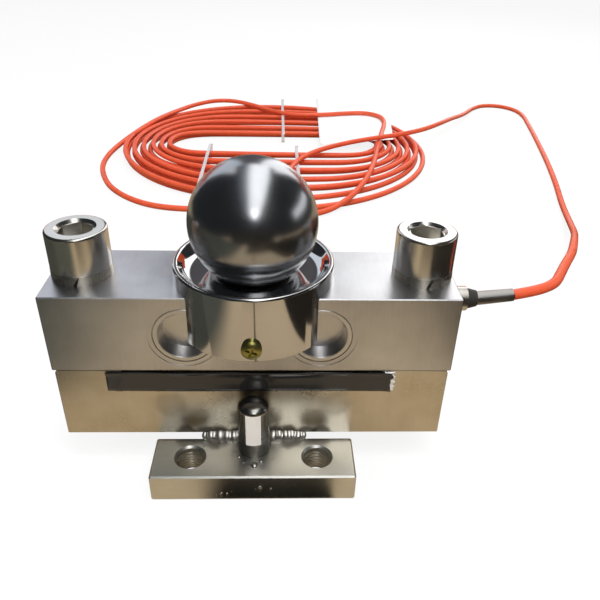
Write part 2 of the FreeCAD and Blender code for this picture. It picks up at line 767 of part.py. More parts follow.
def make_gland():
    """The screwed gland in the right end of the beam, with its rubber seal."""
    shank = along("gland_shank", "x", "gland_bore - gland_fit", "gland_bore_depth",
                  f"{END} - gland_bore_depth", "gland_offset", GLAND_Z)
    flats = doc.addObject("Part::Prism", "gland_flats")
    flats.Polygon = 6
    turned(flats, (0, 1, 0), 90)
    tie(flats, Circumradius="gland_flats / sqrt(3)", Height="gland_flats_length")
    at(flats, END, "gland_offset", GLAND_Z)
    ring = along("gland_nut_ring", "x", "gland_ring", "gland_ring_length",
                 f"{END} + gland_flats_length", "gland_offset", GLAND_Z)
    bore = along("gland_through", "x", "cable_diameter / 2", "200", f"{END} - 50", "gland_offset", GLAND_Z)
    node(cut("gland_body", joined("gland_whole", shank, flats, ring), bore), "gland_body")
    cone = doc.addObject("Part::Cone", "seal_cone")
    turned(cone, (0, 1, 0), 90)
    tie(cone, Radius1="seal_radius", Radius2="seal_tip", Height="seal_length")
    at(cone, GLAND_TIP, "gland_offset", GLAND_Z)
    hole = along("seal_hole", "x", "cable_diameter / 2", "seal_length", GLAND_TIP, "gland_offset", GLAND_Z)
    node(cut("gland_seal", cone, hole), "gland_seal")


def sleeve_axis():
    """Where the sleeve starts, and the way that it points."""
    start_x = value("beam_length") / 2 + value("gland_flats_length") + value("gland_ring_length")
    start = FreeCAD.Vector(start_x + value("seal_length"), value("gland_offset"), gland_height())
    rise = math.radians(value("sleeve_rise"))
    return start, FreeCAD.Vector(math.cos(rise), 0, math.sin(rise))


def make_sleeve_and_entry():
    """The metal-coloured sleeve over the first stretch of cable, and the cable inside it."""
    radius = value("cable_diameter") / 2
    start, way = sleeve_axis()
    tip = start + way * value("sleeve_length")
    inside = FreeCAD.Vector(value("beam_length") / 2 - value("gland_bore_depth"), start.y, start.z)
    bend = FreeCAD.Vector(start.x + value("entry_straight"), start.y, start.z)
    entry = tube([inside, bend, tip], radius, share=0.2)[0]
    cone = Part.makeCone(value("sleeve_radius"), value("sleeve_tip"), value("sleeve_length"), start, way)
    room = 4 * value("sleeve_radius")
    seal_side = Part.makeBox(room, 2 * room, 2 * room, start - FreeCAD.Vector(room, room, room))
    shaped("cable_sleeve", cone.cut(seal_side).cut(entry))
    shaped("cable_entry", entry)
    return tip, entry


def coil_oval(length, depth, low, high):
    """An upright oval prism round the middle of the coil, longer along X or along Y."""
    oval = Part.Ellipse(FreeCAD.Vector(0, 0, low), max(length, depth) / 2, min(length, depth) / 2).toShape()
    if depth > length:
        oval.rotate(FreeCAD.Vector(), FreeCAD.Vector(0, 0, 1), 90)
    oval.translate(FreeCAD.Vector(value("coil_x"), value("coil_y"), 0))
    return Part.Face(Part.Wire([oval])).extrude(FreeCAD.Vector(0, 0, high - low))


def make_coil():
    """The outer shape of the coiled cable: a flat oval ring with rounded edges, on its ties."""
    low, high = value("tie_thickness"), value("coil_height")
    outside = coil_oval(value("coil_length"), value("coil_depth"), low, high)
    hole = coil_oval(value("coil_hole_length"), value("coil_hole_depth"), low, high)
    round_edges = [e for e in outside.Edges if abs(e.BoundBox.ZMax - e.BoundBox.ZMin) < 0.01]
    ring = outside.makeFillet(value("coil_round"), round_edges).cut(hole)
    reach = value("coil_hole_length") / 2 + 0.1
    hole_edges = [e for e in ring.Edges if e.BoundBox.ZLength < 0.01 and e.BoundBox.XLength < 2 * reach]
    return shaped("cable_coil", ring.makeFillet(value("coil_hole_round"), hole_edges))


# The free cable from the sleeve to the coil: down to the floor, round and back to the coil.
CABLE_ROUTE = [
    (186, 20, 102.5),
    (206, 27, 102),
    (227, 51, 98.5),
    (244, 96, 88),
    (269, 152, 67),
    (301, 213, 44),
    (335, 284, 22),
    (361, 348, 8),
    (380, 408, 3.6),
    (400, 480, 3.6),
    (419, 560, 3.6),
    (436, 640, 3.6),
    (452, 720, 3.6),
    (465, 790, 3.6),
    (473, 834, 3.6),
    (471, 874, 3.6),
    (450, 903, 3.6),
    (416, 906, 3.6),
    (389, 882, 3.6),
    (367, 842, 6),
    (344, 800, 11),
    (316, 755, 18),
    (286, 702, 25),
    (248, 655, 27),
    (206, 627, 26.6),
]


def make_cable_run(start, entry, coil):
    points = [tuple(start)] + CABLE_ROUTE
    solid, length, radii = tube(points, value("cable_diameter") / 2)
    shaped("cable_run", solid.cut(coil.Shape).cut(entry))
    print("cable run", round(length), "mm, radii", [round(r) for r in radii])


def oval_half(length, depth, x):
    """Half the width of an oval of the coil, front to rear, at a distance x from its middle."""
    return depth / 2 * math.sqrt(1 - (2 * x / length) ** 2)


TIES = {"front": (34, -1), "left": (-96, -1), "rear": (14, 1)}


def make_ties():
    """Three narrow bands round the strands of the coil, through its hole and under it."""
    gap, width, high = value("tie_thickness"), value("tie_width"), value("coil_height")
    for word, (x, side) in TIES.items():
        # the band clears the oval at both edges of its width
        far = oval_half(value("coil_length"), value("coil_depth"), abs(x) - width / 2) + 0.3
        near = oval_half(value("coil_hole_length"), value("coil_hole_depth"), abs(x) + width / 2) - 0.3
        low_y = value("coil_y") + (near if side > 0 else -far)
        start = value("coil_x") + x - width / 2
        long, room = far - near, high - gap + 0.3
        outer = Part.makeBox(width, long + 2 * gap, room + 2 * gap, FreeCAD.Vector(start, low_y - gap, 0))
        inner = Part.makeBox(width, long, room, FreeCAD.Vector(start, low_y, gap))
        rounded = []
        for box, radius in ((outer, 4 * gap), (inner, 3 * gap)):
            corners = [e for e in box.Edges if abs(e.BoundBox.XLength - width) < 0.01]
            rounded.append(box.makeFillet(radius, corners))
        shaped(f"cable_tie_{word}", rounded[0].cut(rounded[1]))


# The stripped end, which comes out from under the coil and lies on the floor before it.
CABLE_END = [
    (28, 388, 3.6),
    (4, 367, 3.6),
    (-22, 364, 3.6),
]

# Each core's place in the end of the cable, across and up.
CORES = {"red": (-1, -1), "green": (-1, 1), "white": (1, 1), "black": (1, -1)}


def make_cores(coil):
    """The stripped end of the cable, with four coloured cores that lie on the floor."""
    radius, core = value("cable_diameter") / 2, value("core_radius")
    shaped("cable_end", tube(CABLE_END, radius)[0].cut(coil.Shape))
    end = FreeCAD.Vector(*CABLE_END[-1])
    reach, apart = end.x - 0.3, core + 0.15
    for index, (word, (across, up)) in enumerate(CORES.items()):
        spread = (index - (len(CORES) - 1) / 2) * 2 * apart
        route = [
            (reach, end.y + across * apart, radius + up * apart),
            (reach - 14, end.y + spread * 1.2, radius + up * apart * 0.4),
            (reach - 30, end.y + spread * 3, core),
            (reach - 44, end.y + spread * 4.4 - 2, core),
        ]
        shaped(f"core_{word}", tube(route, core)[0])


# Label.


def make_label():
    """A plain black tape along the front of the joint between the two blocks."""
    strip = block("label_strip", "label_left + label_right", "label_thickness", "label_height",
                  "(label_right - label_left) / 2", f"-{FACE} - label_thickness / 2",
                  f"{JOINT} - label_drop - label_height")
    node(strip, "label_strip")


make_elastic_beam()
make_base_block()
for face_word, sign in FACES.items():
    make_foot_bar(face_word, sign)
    make_stop_rod(face_word, sign)
    make_weld(face_word, sign)
    make_cup_screw(face_word, sign)
make_sticker()
for side_word, side in SIDES.items():
    make_clamp_screw(side_word, side)
    make_spring_washer(side_word, side)
    make_terminal_board(side_word, side)
    for face_word, sign in FACES.items():
        make_gauge_cover(side_word, side, face_word, sign)
        make_gauge(side_word, side, face_word, sign)
make_ball_and_seat()
make_ball_cup()
make_lead_wires()
make_gland()
sleeve_tip, cable_entry = make_sleeve_and_entry()
cable_coil = make_coil()
make_cable_run(sleeve_tip, cable_entry, cable_coil)
make_ties()
make_cores(cable_coil)
make_label()

doc.recompute()

for thing in doc.Objects:
    if "Invalid" in thing.State or "Error" in thing.State:
        raise RuntimeError(f"{thing.Name}: {thing.State}")
for thing in NODES:
    if thing.Shape.isNull() or not thing.Shape.isValid() or not thing.Shape.Solids:
        raise RuntimeError(f"{thing.Label} has no valid solid")

os.makedirs("parts", exist_ok=True)
for thing in NODES:
    thing.Shape.exportStep(f"parts/{thing.Label}.step")
    print(thing.Label, len(thing.Shape.Solids), round(thing.Shape.Volume))
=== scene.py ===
"""Looks of a double-ended shear beam load cell: finishes, cable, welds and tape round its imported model."""

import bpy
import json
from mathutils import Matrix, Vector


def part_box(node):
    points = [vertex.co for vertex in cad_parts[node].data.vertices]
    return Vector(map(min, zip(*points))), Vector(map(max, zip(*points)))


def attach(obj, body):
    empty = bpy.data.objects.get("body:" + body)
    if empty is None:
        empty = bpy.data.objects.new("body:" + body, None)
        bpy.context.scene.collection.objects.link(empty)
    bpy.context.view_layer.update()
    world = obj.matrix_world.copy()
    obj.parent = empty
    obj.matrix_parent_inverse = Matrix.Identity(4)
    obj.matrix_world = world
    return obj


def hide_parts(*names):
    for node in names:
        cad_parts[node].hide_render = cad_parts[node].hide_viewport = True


bl_info = {
    "name": "Shear Beam Load Cell",
    "version": (1, 0, 0),
    "blender": (4, 5, 0),
    "location": "3D View > Sidebar > Load Cell",
    "description": "Dresses the packed model of a shear beam load cell with its cable and finishes",
    "category": "Object",
}

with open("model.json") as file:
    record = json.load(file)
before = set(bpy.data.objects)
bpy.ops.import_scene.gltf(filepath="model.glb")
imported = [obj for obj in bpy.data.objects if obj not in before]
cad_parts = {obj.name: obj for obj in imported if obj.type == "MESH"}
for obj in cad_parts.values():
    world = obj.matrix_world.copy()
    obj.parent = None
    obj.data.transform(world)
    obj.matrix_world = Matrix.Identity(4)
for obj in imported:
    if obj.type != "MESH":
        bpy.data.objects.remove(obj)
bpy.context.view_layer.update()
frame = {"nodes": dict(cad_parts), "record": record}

import json
import math
import random

import bmesh
import bpy
from bpy.props import FloatProperty, FloatVectorProperty, IntProperty, PointerProperty
from bpy.types import Operator, Panel, PropertyGroup
from mathutils import Matrix, Vector

MM = 0.001
SIDES = {"left": -1, "right": 1}
FACES = {"front": -1, "rear": 1}


# Sizes read from the frame, in millimetres.


def span(node):
    """The lowest and highest corners of a node, in millimetres."""
    low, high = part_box(node)
    return low / MM, high / MM


BASE_LOW = span("base_block")[0]
COIL_LOW, COIL_HIGH = span("cable_coil")
CORD_END_LOW = span("cable_end")[0]
SLEEVE_LOW, SLEEVE_HIGH = span("cable_sleeve")
LABEL_LOW, LABEL_HIGH = span("label_strip")


# Colours and nodes.


def linear(text):
    """The linear colour of an sRGB hex value."""
    channels = [int(text[i:i + 2], 16) / 255 for i in (1, 3, 5)]
    return tuple(c / 12.92 if c <= 0.04045 else ((c + 0.055) / 1.055) ** 2.4 for c in channels)


def opaque(shade, strength=1.0):
    """A linear colour times a strength, with full alpha; above 1 it is brighter than white paper."""
    return (*(strength * channel for channel in shade), 1.0)


def colour(text, strength=1.0):
    """The opaque linear colour of an sRGB hex value."""
    return opaque(linear(text), strength)


def grey(level):
    """An even grey by its linear level."""
    return (level, level, level, 1.0)


# The Mix node has one set of sockets for each kind of value; these are its colour sockets.
MIX_FACTOR, MIX_FIRST, MIX_SECOND, MIX_RESULT = 0, 6, 7, 2


def add(tree, kind, links=None, out=0, **settings):
    """Adds a node with its settings and gives one of its outputs, or the node where it has none.

    links gives each input, by name or number, a value or another node's output.
    """
    made = tree.nodes.new(kind)
    for name, setting in settings.items():
        setattr(made, name, setting)
    for name, source in (links or {}).items():
        if isinstance(source, bpy.types.NodeSocket):
            tree.links.new(source, made.inputs[name])
        else:
            made.inputs[name].default_value = source
    return made.outputs[out] if made.outputs else made


def new_material(name):
    """An empty node material, and its tree."""
    material = bpy.data.materials.new(name)
    material.use_nodes = True
    tree = material.node_tree
    tree.nodes.clear()
    return material, tree


def spots(tree, size, detail=2.0, roughness=0.5):
    """Noise fixed to the surface, with features of a size in millimetres along x, y and z."""
    place = add(tree, "ShaderNodeTexCoord", out="Object")
    scale = tuple(1 / (length * MM) for length in size)
    mapped = add(tree, "ShaderNodeMapping", {"Vector": place, "Scale": scale})
    return add(tree, "ShaderNodeTexNoise", {"Vector": mapped, "Scale": 1.0, "Detail": detail,
                                            "Roughness": roughness}, out="Fac")


# Materials, each named for the real one.


def near(tree, point, reach, soft=0.5):
    """1 close to a point in millimetres, falling to 0 at reach, wobbling with noise."""
    place = add(tree, "ShaderNodeTexCoord", out="Object")
    away = add(tree, "ShaderNodeVectorMath", {0: place, 1: tuple(c * MM for c in point)}, out="Value",
               operation="DISTANCE")
    wobble = add(tree, "ShaderNodeMath", {0: spots(tree, (9, 9, 9), 3.0), 1: 0.5}, operation="SUBTRACT")
    distance = add(tree, "ShaderNodeMath", {0: wobble, 1: reach * 0.7 * MM, 2: away},
                   operation="MULTIPLY_ADD")
    return add(tree, "ShaderNodeMapRange", {"Value": distance, "From Min": reach * (1 - soft) * MM,
                                            "From Max": reach * MM, "To Min": 1.0, "To Max": 0.0},
               interpolation_type="SMOOTHSTEP")


def plated_steel(name, shade, dark, grain, tints=(), gloss=0.3, lines=0.12):
    """Bright nickel plate over machined steel: the tool lines stay under the plate as fine streaks.

    grain is the size of a streak along x, y and z in millimetres. tints are darkened places, each a point,
    its reach, its colour, brown to blue-black, and its strength: weld burns, and along the base block's foot
    painted shade too.
    """
    material, tree = new_material(name)
    streaks = spots(tree, grain, 4.0, 0.65)
    clouds = spots(tree, (45, 45, 45), 3.0, 0.55)
    specks = spots(tree, (2.2, 2.2, 2.2), 2.0, 0.6)
    worn = add(tree, "ShaderNodeMapRange", {"Value": clouds, "From Min": 0.32, "From Max": 0.7})
    tone = add(tree, "ShaderNodeMix", {MIX_FACTOR: worn, MIX_FIRST: dark, MIX_SECOND: shade},
               out=MIX_RESULT, data_type="RGBA")
    streaked = add(tree, "ShaderNodeMapRange", {"Value": streaks, "From Min": 0.3, "From Max": 0.7,
                                                "To Min": 0.25, "To Max": 0.85})
    tone = add(tree, "ShaderNodeMix", {MIX_FACTOR: lines, MIX_FIRST: tone, MIX_SECOND: streaked},
               out=MIX_RESULT, data_type="RGBA", blend_type="OVERLAY")
    rough = add(tree, "ShaderNodeMath", {0: clouds, 1: 0.16, 2: gloss - 0.06}, operation="MULTIPLY_ADD")
    rough = add(tree, "ShaderNodeMath", {0: specks, 1: 0.06, 2: rough}, operation="MULTIPLY_ADD")
    height = add(tree, "ShaderNodeMath", {0: specks, 1: 0.3, 2: streaks}, operation="MULTIPLY_ADD")
    normal = add(tree, "ShaderNodeBump", {"Height": height, "Strength": 0.22, "Distance": 0.06 * MM})
    # Each tint darkens the tone: weld burn, or painted shade where the caller gives it.
    for point, reach, darkening, strength in tints:
        burn_and_shade = add(tree, "ShaderNodeMath", {0: near(tree, point, reach), 1: strength},
                    operation="MULTIPLY")
        tone = add(tree, "ShaderNodeMix", {MIX_FACTOR: burn_and_shade, MIX_FIRST: tone, MIX_SECOND: colour(darkening)},
                   out=MIX_RESULT, data_type="RGBA")
        rough = add(tree, "ShaderNodeMath", {0: burn_and_shade, 1: 0.2, 2: rough}, operation="MULTIPLY_ADD")
    shader = add(tree, "ShaderNodeBsdfPrincipled",
                 {"Base Color": tone, "Metallic": 1.0, "Roughness": rough, "Normal": normal})
    add(tree, "ShaderNodeOutputMaterial", {"Surface": shader})
    return material


def polished_metal(name, shade, dark, gloss, haze=0.05):
    """Ground and polished metal: a mirror with a faint haze and a few hair scratches."""
    material, tree = new_material(name)
    clouds = spots(tree, (18, 18, 18), 3.0)
    hairs = spots(tree, (0.8, 12, 6), 5.0, 0.7)
    tone = add(tree, "ShaderNodeMix", {MIX_FACTOR: clouds, MIX_FIRST: dark, MIX_SECOND: shade},
               out=MIX_RESULT, data_type="RGBA")
    rough = add(tree, "ShaderNodeMath", {0: clouds, 1: haze, 2: gloss}, operation="MULTIPLY_ADD")
    rough = add(tree, "ShaderNodeMath", {0: hairs, 1: haze * 0.6, 2: rough}, operation="MULTIPLY_ADD")
    normal = add(tree, "ShaderNodeBump", {"Height": hairs, "Strength": 0.06, "Distance": 0.02 * MM})
    shader = add(tree, "ShaderNodeBsdfPrincipled",
                 {"Base Color": tone, "Metallic": 1.0, "Roughness": rough, "Normal": normal})
    add(tree, "ShaderNodeOutputMaterial", {"Surface": shader})
    return material


def extruded_sheath(name, shade):
    """Extruded polyurethane cable sheath: satin, slightly uneven in colour, with pale scuffs."""
    material, tree = new_material(name)
    clouds = spots(tree, (28, 28, 28), 3.0)
    grain = spots(tree, (0.9, 0.9, 0.9), 2.0)
    rubbed = spots(tree, (6, 3, 3), 6.0, 0.7)
    tone = add(tree, "ShaderNodeMix", {MIX_FACTOR: clouds, MIX_FIRST: opaque(shade, 0.78),
                                       MIX_SECOND: opaque(shade)}, out=MIX_RESULT, data_type="RGBA")
    scuffs = add(tree, "ShaderNodeMapRange", {"Value": rubbed, "From Min": 0.62, "From Max": 0.78,
                                              "To Min": 0.0, "To Max": 0.35})
    tone = add(tree, "ShaderNodeMix", {MIX_FACTOR: scuffs, MIX_FIRST: tone, MIX_SECOND: colour("#f2a58a")},
               out=MIX_RESULT, data_type="RGBA")
    rough = add(tree, "ShaderNodeMath", {0: clouds, 1: 0.15, 2: 0.34}, operation="MULTIPLY_ADD")
    normal = add(tree, "ShaderNodeBump", {"Height": grain, "Strength": 0.12, "Distance": 0.08 * MM})
    shader = add(tree, "ShaderNodeBsdfPrincipled",
                 {"Base Color": tone, "Roughness": rough, "Normal": normal, "IOR": 1.5,
                  "Subsurface Weight": 0.06, "Subsurface Scale": 2 * MM,
                  "Subsurface Radius": (1.0, 0.35, 0.2)})
    add(tree, "ShaderNodeOutputMaterial", {"Surface": shader})
    return material


def moulded(name, shade, roughness, grain=1.0, ior=1.5, clear=0.0, uneven=0.12):
    """Moulded or coated plastic, rubber or paper: one colour with a slight grain, in millimetres."""
    material, tree = new_material(name)
    fine = spots(tree, (grain,) * 3, 3.0)
    broad = spots(tree, (grain * 14,) * 3, 3.0)
    tone = add(tree, "ShaderNodeMix", {MIX_FACTOR: broad, MIX_FIRST: colour(shade, 1 - uneven),
                                       MIX_SECOND: colour(shade)}, out=MIX_RESULT, data_type="RGBA")
    rough = add(tree, "ShaderNodeMath", {0: broad, 1: 0.1, 2: roughness - 0.05}, operation="MULTIPLY_ADD")
    normal = add(tree, "ShaderNodeBump", {"Height": fine, "Strength": 0.15, "Distance": 0.06 * MM})
    shader = add(tree, "ShaderNodeBsdfPrincipled",
                 {"Base Color": tone, "Roughness": rough, "Normal": normal, "IOR": ior,
                  "Coat Weight": clear})
    add(tree, "ShaderNodeOutputMaterial", {"Surface": shader})
    return material


def milky_film(name, shade):
    """Thin clear polythene film: milky and glossy, and the strands show through it."""
    material, tree = new_material(name)
    creases = spots(tree, (3, 3, 3), 4.0, 0.7)
    tone = add(tree, "ShaderNodeMix", {MIX_FACTOR: creases, MIX_FIRST: colour("#d8d8dc"),
                                       MIX_SECOND: colour(shade)}, out=MIX_RESULT, data_type="RGBA")
    normal = add(tree, "ShaderNodeBump", {"Height": creases, "Strength": 0.5, "Distance": 0.3 * MM})
    shader = add(tree, "ShaderNodeBsdfPrincipled",
                 {"Base Color": tone, "Roughness": 0.25, "Alpha": 0.62, "Normal": normal, "IOR": 1.5})
    add(tree, "ShaderNodeOutputMaterial", {"Surface": shader})
    return material


def dress(node, material):
    """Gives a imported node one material."""
    mesh = frame["nodes"][node].data
    mesh.materials.clear()
    mesh.materials.append(material)


# Mesh helpers.


def new_piece(name, data, material, smooth=True):
    """Links a mesh or curve as a piece that rides on the cell."""
    piece = bpy.data.objects.new(name, data)
    bpy.context.scene.collection.objects.link(piece)
    data.materials.append(material)
    if smooth and isinstance(data, bpy.types.Mesh):
        data.shade_smooth()
    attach(piece, "root")
    return piece


def mesh_from(name, bm):
    """A mesh of a finished bmesh, with its faces turned outwards."""
    bmesh.ops.recalc_face_normals(bm, faces=bm.faces)
    mesh = bpy.data.meshes.new(name)
    bm.to_mesh(mesh)
    bm.free()
    return mesh


def cover(bm, grid):
    """Faces over a grid of vertices, given as columns."""
    for left, right in zip(grid, grid[1:]):
        for j in range(len(left) - 1):
            bm.faces.new((left[j], right[j], right[j + 1], left[j + 1]))


def close_border(bm, lower, upper):
    """Joins the edges of two equal grids of vertices, so that a thin sheet is closed."""
    columns, rows = len(lower) - 1, len(lower[0]) - 1
    border = [(i, 0) for i in range(columns)] + [(columns, j) for j in range(rows)]
    border += [(i, rows) for i in range(columns, 0, -1)] + [(0, j) for j in range(rows, 0, -1)]
    for (i, j), (k, m) in zip(border, border[1:] + border[:1]):
        bm.faces.new((lower[i][j], lower[k][m], upper[k][m], upper[i][j]))


# The cable.

# Where the turns start, as an angle round the coil, and how much the last one stops short of it.
COIL_START = math.radians(-108)
COIL_SHORT = 13 / 360

# From the sleeve's tip down to the floor, round and back to the coil.
CABLE_ROUTE = [
    (188, 21.5, 102.3),
    (205, 33, 101.4),
    (216, 51, 99),
    (231, 76, 94.5),
    (249, 105, 88),
    (273, 151, 73.5),
    (303, 209, 51.5),
    (335, 272, 27.5),
    (361, 338, 9.5),
    (380, 408, 3.6),
    (400, 480, 3.6),
    (419, 560, 3.6),
    (436, 640, 3.6),
    (452, 720, 3.6),
    (465, 790, 3.6),
    (473, 834, 3.6),
    (471, 874, 3.6),
    (450, 903, 3.6),
    (416, 906, 3.6),
    (389, 882, 3.6),
    (367, 842, 6),
    (344, 800, 11),
    (316, 755, 18),
    (286, 702, 25),
    (248, 655, 27),
    (206, 627, 26.6),
]

# Across the top of the coil to its front, and down into the upper layer of turns.
LEAD_IN = [
    (160, 606, 26.6),
    (112, 586, 24),
    (72, 562, 20.5),
    (44, 528, 19),
    (31, 490, 18.6),
    (25, 458, 18.6),
    (12, 432, 18.2),
    (-10, 414, 15.5),
    (-36, 407, 12.5),
]

# The loose outer strand: round the coil's left end, over its rear and its front, and down before it.
TAIL = [
    (-50, 381, 3.7),
    (-94, 380, 3.7),
    (-138, 388, 3.7),
    (-172, 410, 3.7),
    (-199, 440, 3.7),
    (-218, 474, 3.7),
    (-236, 528, 3.7),
    (-239, 580, 3.9),
    (-227, 630, 8),
    (-207, 676, 15),
    (-187, 722, 18.6),
    (-163, 773, 18.6),
    (-134, 822, 18.6),
    (-100, 852, 18.6),
    (-62, 848, 18.6),
    (-24, 814, 18.6),
    (10, 776, 18.6),
    (48, 756, 18.8),
    (94, 762, 19.2),
    (138, 775, 19.2),
    (167, 778, 19.2),
    (189, 762, 19.2),
    (195, 734, 19.2),
    (190, 702, 19.2),
    (182, 668, 19.6),
    (174, 634, 19.4),
    (163, 584, 18.6),
    (152, 528, 18.6),
    (137, 470, 18.6),
    (121, 427, 17.5),
    (101, 397, 11),
    (76, 377, 4.6),
    (48, 366, 3.7),
    (16, 363, 3.7),
]


def clamp(value, low, high):
    """The value, kept between two limits."""
    return max(low, min(high, value))


def evenly(points, spacing):
    """Points at equal steps along a dense line of points, without its first and last."""
    placed, left = [], spacing
    for first, second in zip(points, points[1:]):
        step = (second - first).length
        while left <= step:
            placed.append(first.lerp(second, left / step))
            left += spacing
        left -= step
    return placed


def coil_turns(sizes):
    """Points of the coil: an upper layer of turns wound inwards, then a lower one wound outwards.

    Each turn has round ends and straighter long sides, so that the innermost bends no tighter than its
    depth.
    """
    draw = random.Random(11)
    radius = sizes.diameter / MM / 2
    middle = (COIL_LOW + COIL_HIGH) / 2
    outer = (COIL_HIGH - COIL_LOW).xy / 2 - Vector((radius, radius))
    inner = Vector((sizes.inner_length, sizes.inner_depth)) / MM / 2
    upper = sizes.turns // 2
    lanes = sizes.turns - upper
    sways = [(draw.uniform(0.3, 1.6), draw.uniform(0, 2 * math.pi), draw.uniform(0.8, 2.0))
             for _ in range(6)]
    fine, gap = 120, 0.1
    points = []
    for step in range(round((sizes.turns - COIL_SHORT) * fine) + 1):
        turn = step / fine
        # the lanes of the upper layer lie between those of the lower one at the front
        lane = turn + 0.64 if turn < upper else sizes.turns - turn
        size = outer.lerp(inner, min(1.0, lane / lanes))
        angle = COIL_START - 2 * math.pi * turn
        straight = max(0.0, size.x - size.y)
        across = straight * clamp(math.cos(angle) / 0.25, -1, 1) + (size.x - straight) * math.cos(angle)
        sway = [reach * math.sin(rate * 2 * math.pi * turn + phase) for rate, phase, reach in sways]
        lift = clamp((upper - turn) / 0.3, 0, 1)
        height = radius + gap + lift * (2 * radius + gap) + 0.12 * sway[5]
        points.append(Vector((middle.x + across + sway[0] + sway[1],
                              middle.y + size.y * math.sin(angle) + (sway[2] + sway[3]) * 0.8, height)))
    return [points[0], *evenly(points, sizes.point_spacing / MM)]


def make_cord(sizes):
    """The whole cable as one NURBS curve, from the sleeve to its stripped end."""
    radius = sizes.diameter / 2
    start = Vector((SLEEVE_HIGH.x - 0.6, (SLEEVE_LOW.y + SLEEVE_HIGH.y) / 2, SLEEVE_HIGH.z - 4.2))
    end = Vector((CORD_END_LOW.x, CORD_END_LOW.y + radius / MM, radius / MM))
    route = [start, *CABLE_ROUTE, *LEAD_IN, *coil_turns(sizes), *TAIL, end]
    curve = bpy.data.curves.new("orange_cable", "CURVE")
    curve.dimensions = "3D"
    curve.bevel_depth = radius
    curve.bevel_resolution = 4
    curve.resolution_u = 6
    curve.use_fill_caps = True
    spline = curve.splines.new("NURBS")
    spline.points.add(len(route) - 1)
    for point, place in zip(spline.points, route):
        point.co = (*(Vector(place) * MM), 1.0)
    spline.order_u = 3
    spline.use_endpoint_u = True
    return curve, start * MM


# Property groups.


class LoadCellCable(PropertyGroup):
    """Sizes and colour of the cable and its coil."""

    diameter: FloatProperty(name="Diameter", description="Outer diameter of the cable",
                            default=0.0072, subtype="DISTANCE", unit="LENGTH")
    length: FloatProperty(name="Length", description="Length from the sleeve to the stripped end",
                          default=16.2, subtype="DISTANCE", unit="LENGTH")
    turns: IntProperty(name="Turns", description="Turns in the coil", default=12, min=4)
    inner_length: FloatProperty(name="Inner length", description="Length of the coil's innermost turn",
                                default=0.33, subtype="DISTANCE", unit="LENGTH")
    inner_depth: FloatProperty(name="Inner depth", description="Depth of the coil's innermost turn",
                               default=0.092, subtype="DISTANCE", unit="LENGTH")
    point_spacing: FloatProperty(name="Point spacing", description="Distance between the coil's points",
                                 default=0.03, min=0.01, max=0.05, subtype="DISTANCE", unit="LENGTH")
    sheath: FloatVectorProperty(name="Sheath", description="Colour of the cable's sheath", subtype="COLOR",
                                default=linear("#ec5c34"))


class LoadCellMetal(PropertyGroup):
    """Colours of the plated steel, and the pitch of its welds and threads."""

    nickel: FloatVectorProperty(name="Nickel", description="Bright nickel plate", subtype="COLOR",
                                default=linear("#e2dccf"))
    nickel_shade: FloatVectorProperty(name="Nickel shade", description="Duller nickel plate",
                                      subtype="COLOR", default=linear("#c9c0ae"))
    weld_ripple: FloatProperty(name="Weld ripple", description="Distance from one weld ripple to the next",
                               default=0.0021, subtype="DISTANCE", unit="LENGTH")
    thread_pitch: FloatProperty(name="Thread pitch", description="Pitch of the foot bars' M20 threads",
                                default=0.0025, subtype="DISTANCE", unit="LENGTH")


class LoadCellStage(PropertyGroup):
    """The floor, the room's light and the camera."""

    floor: FloatVectorProperty(name="Floor", description="Colour of the floor", subtype="COLOR",
                               default=linear("#ac9a7f"))
    sky: FloatProperty(name="Sky light", description="Strength of the room's even light", default=0.55,
                       min=0)
    lens: FloatProperty(name="Lens", description="Focal length of the camera", default=37.505,
                        unit="CAMERA")


# Operators.


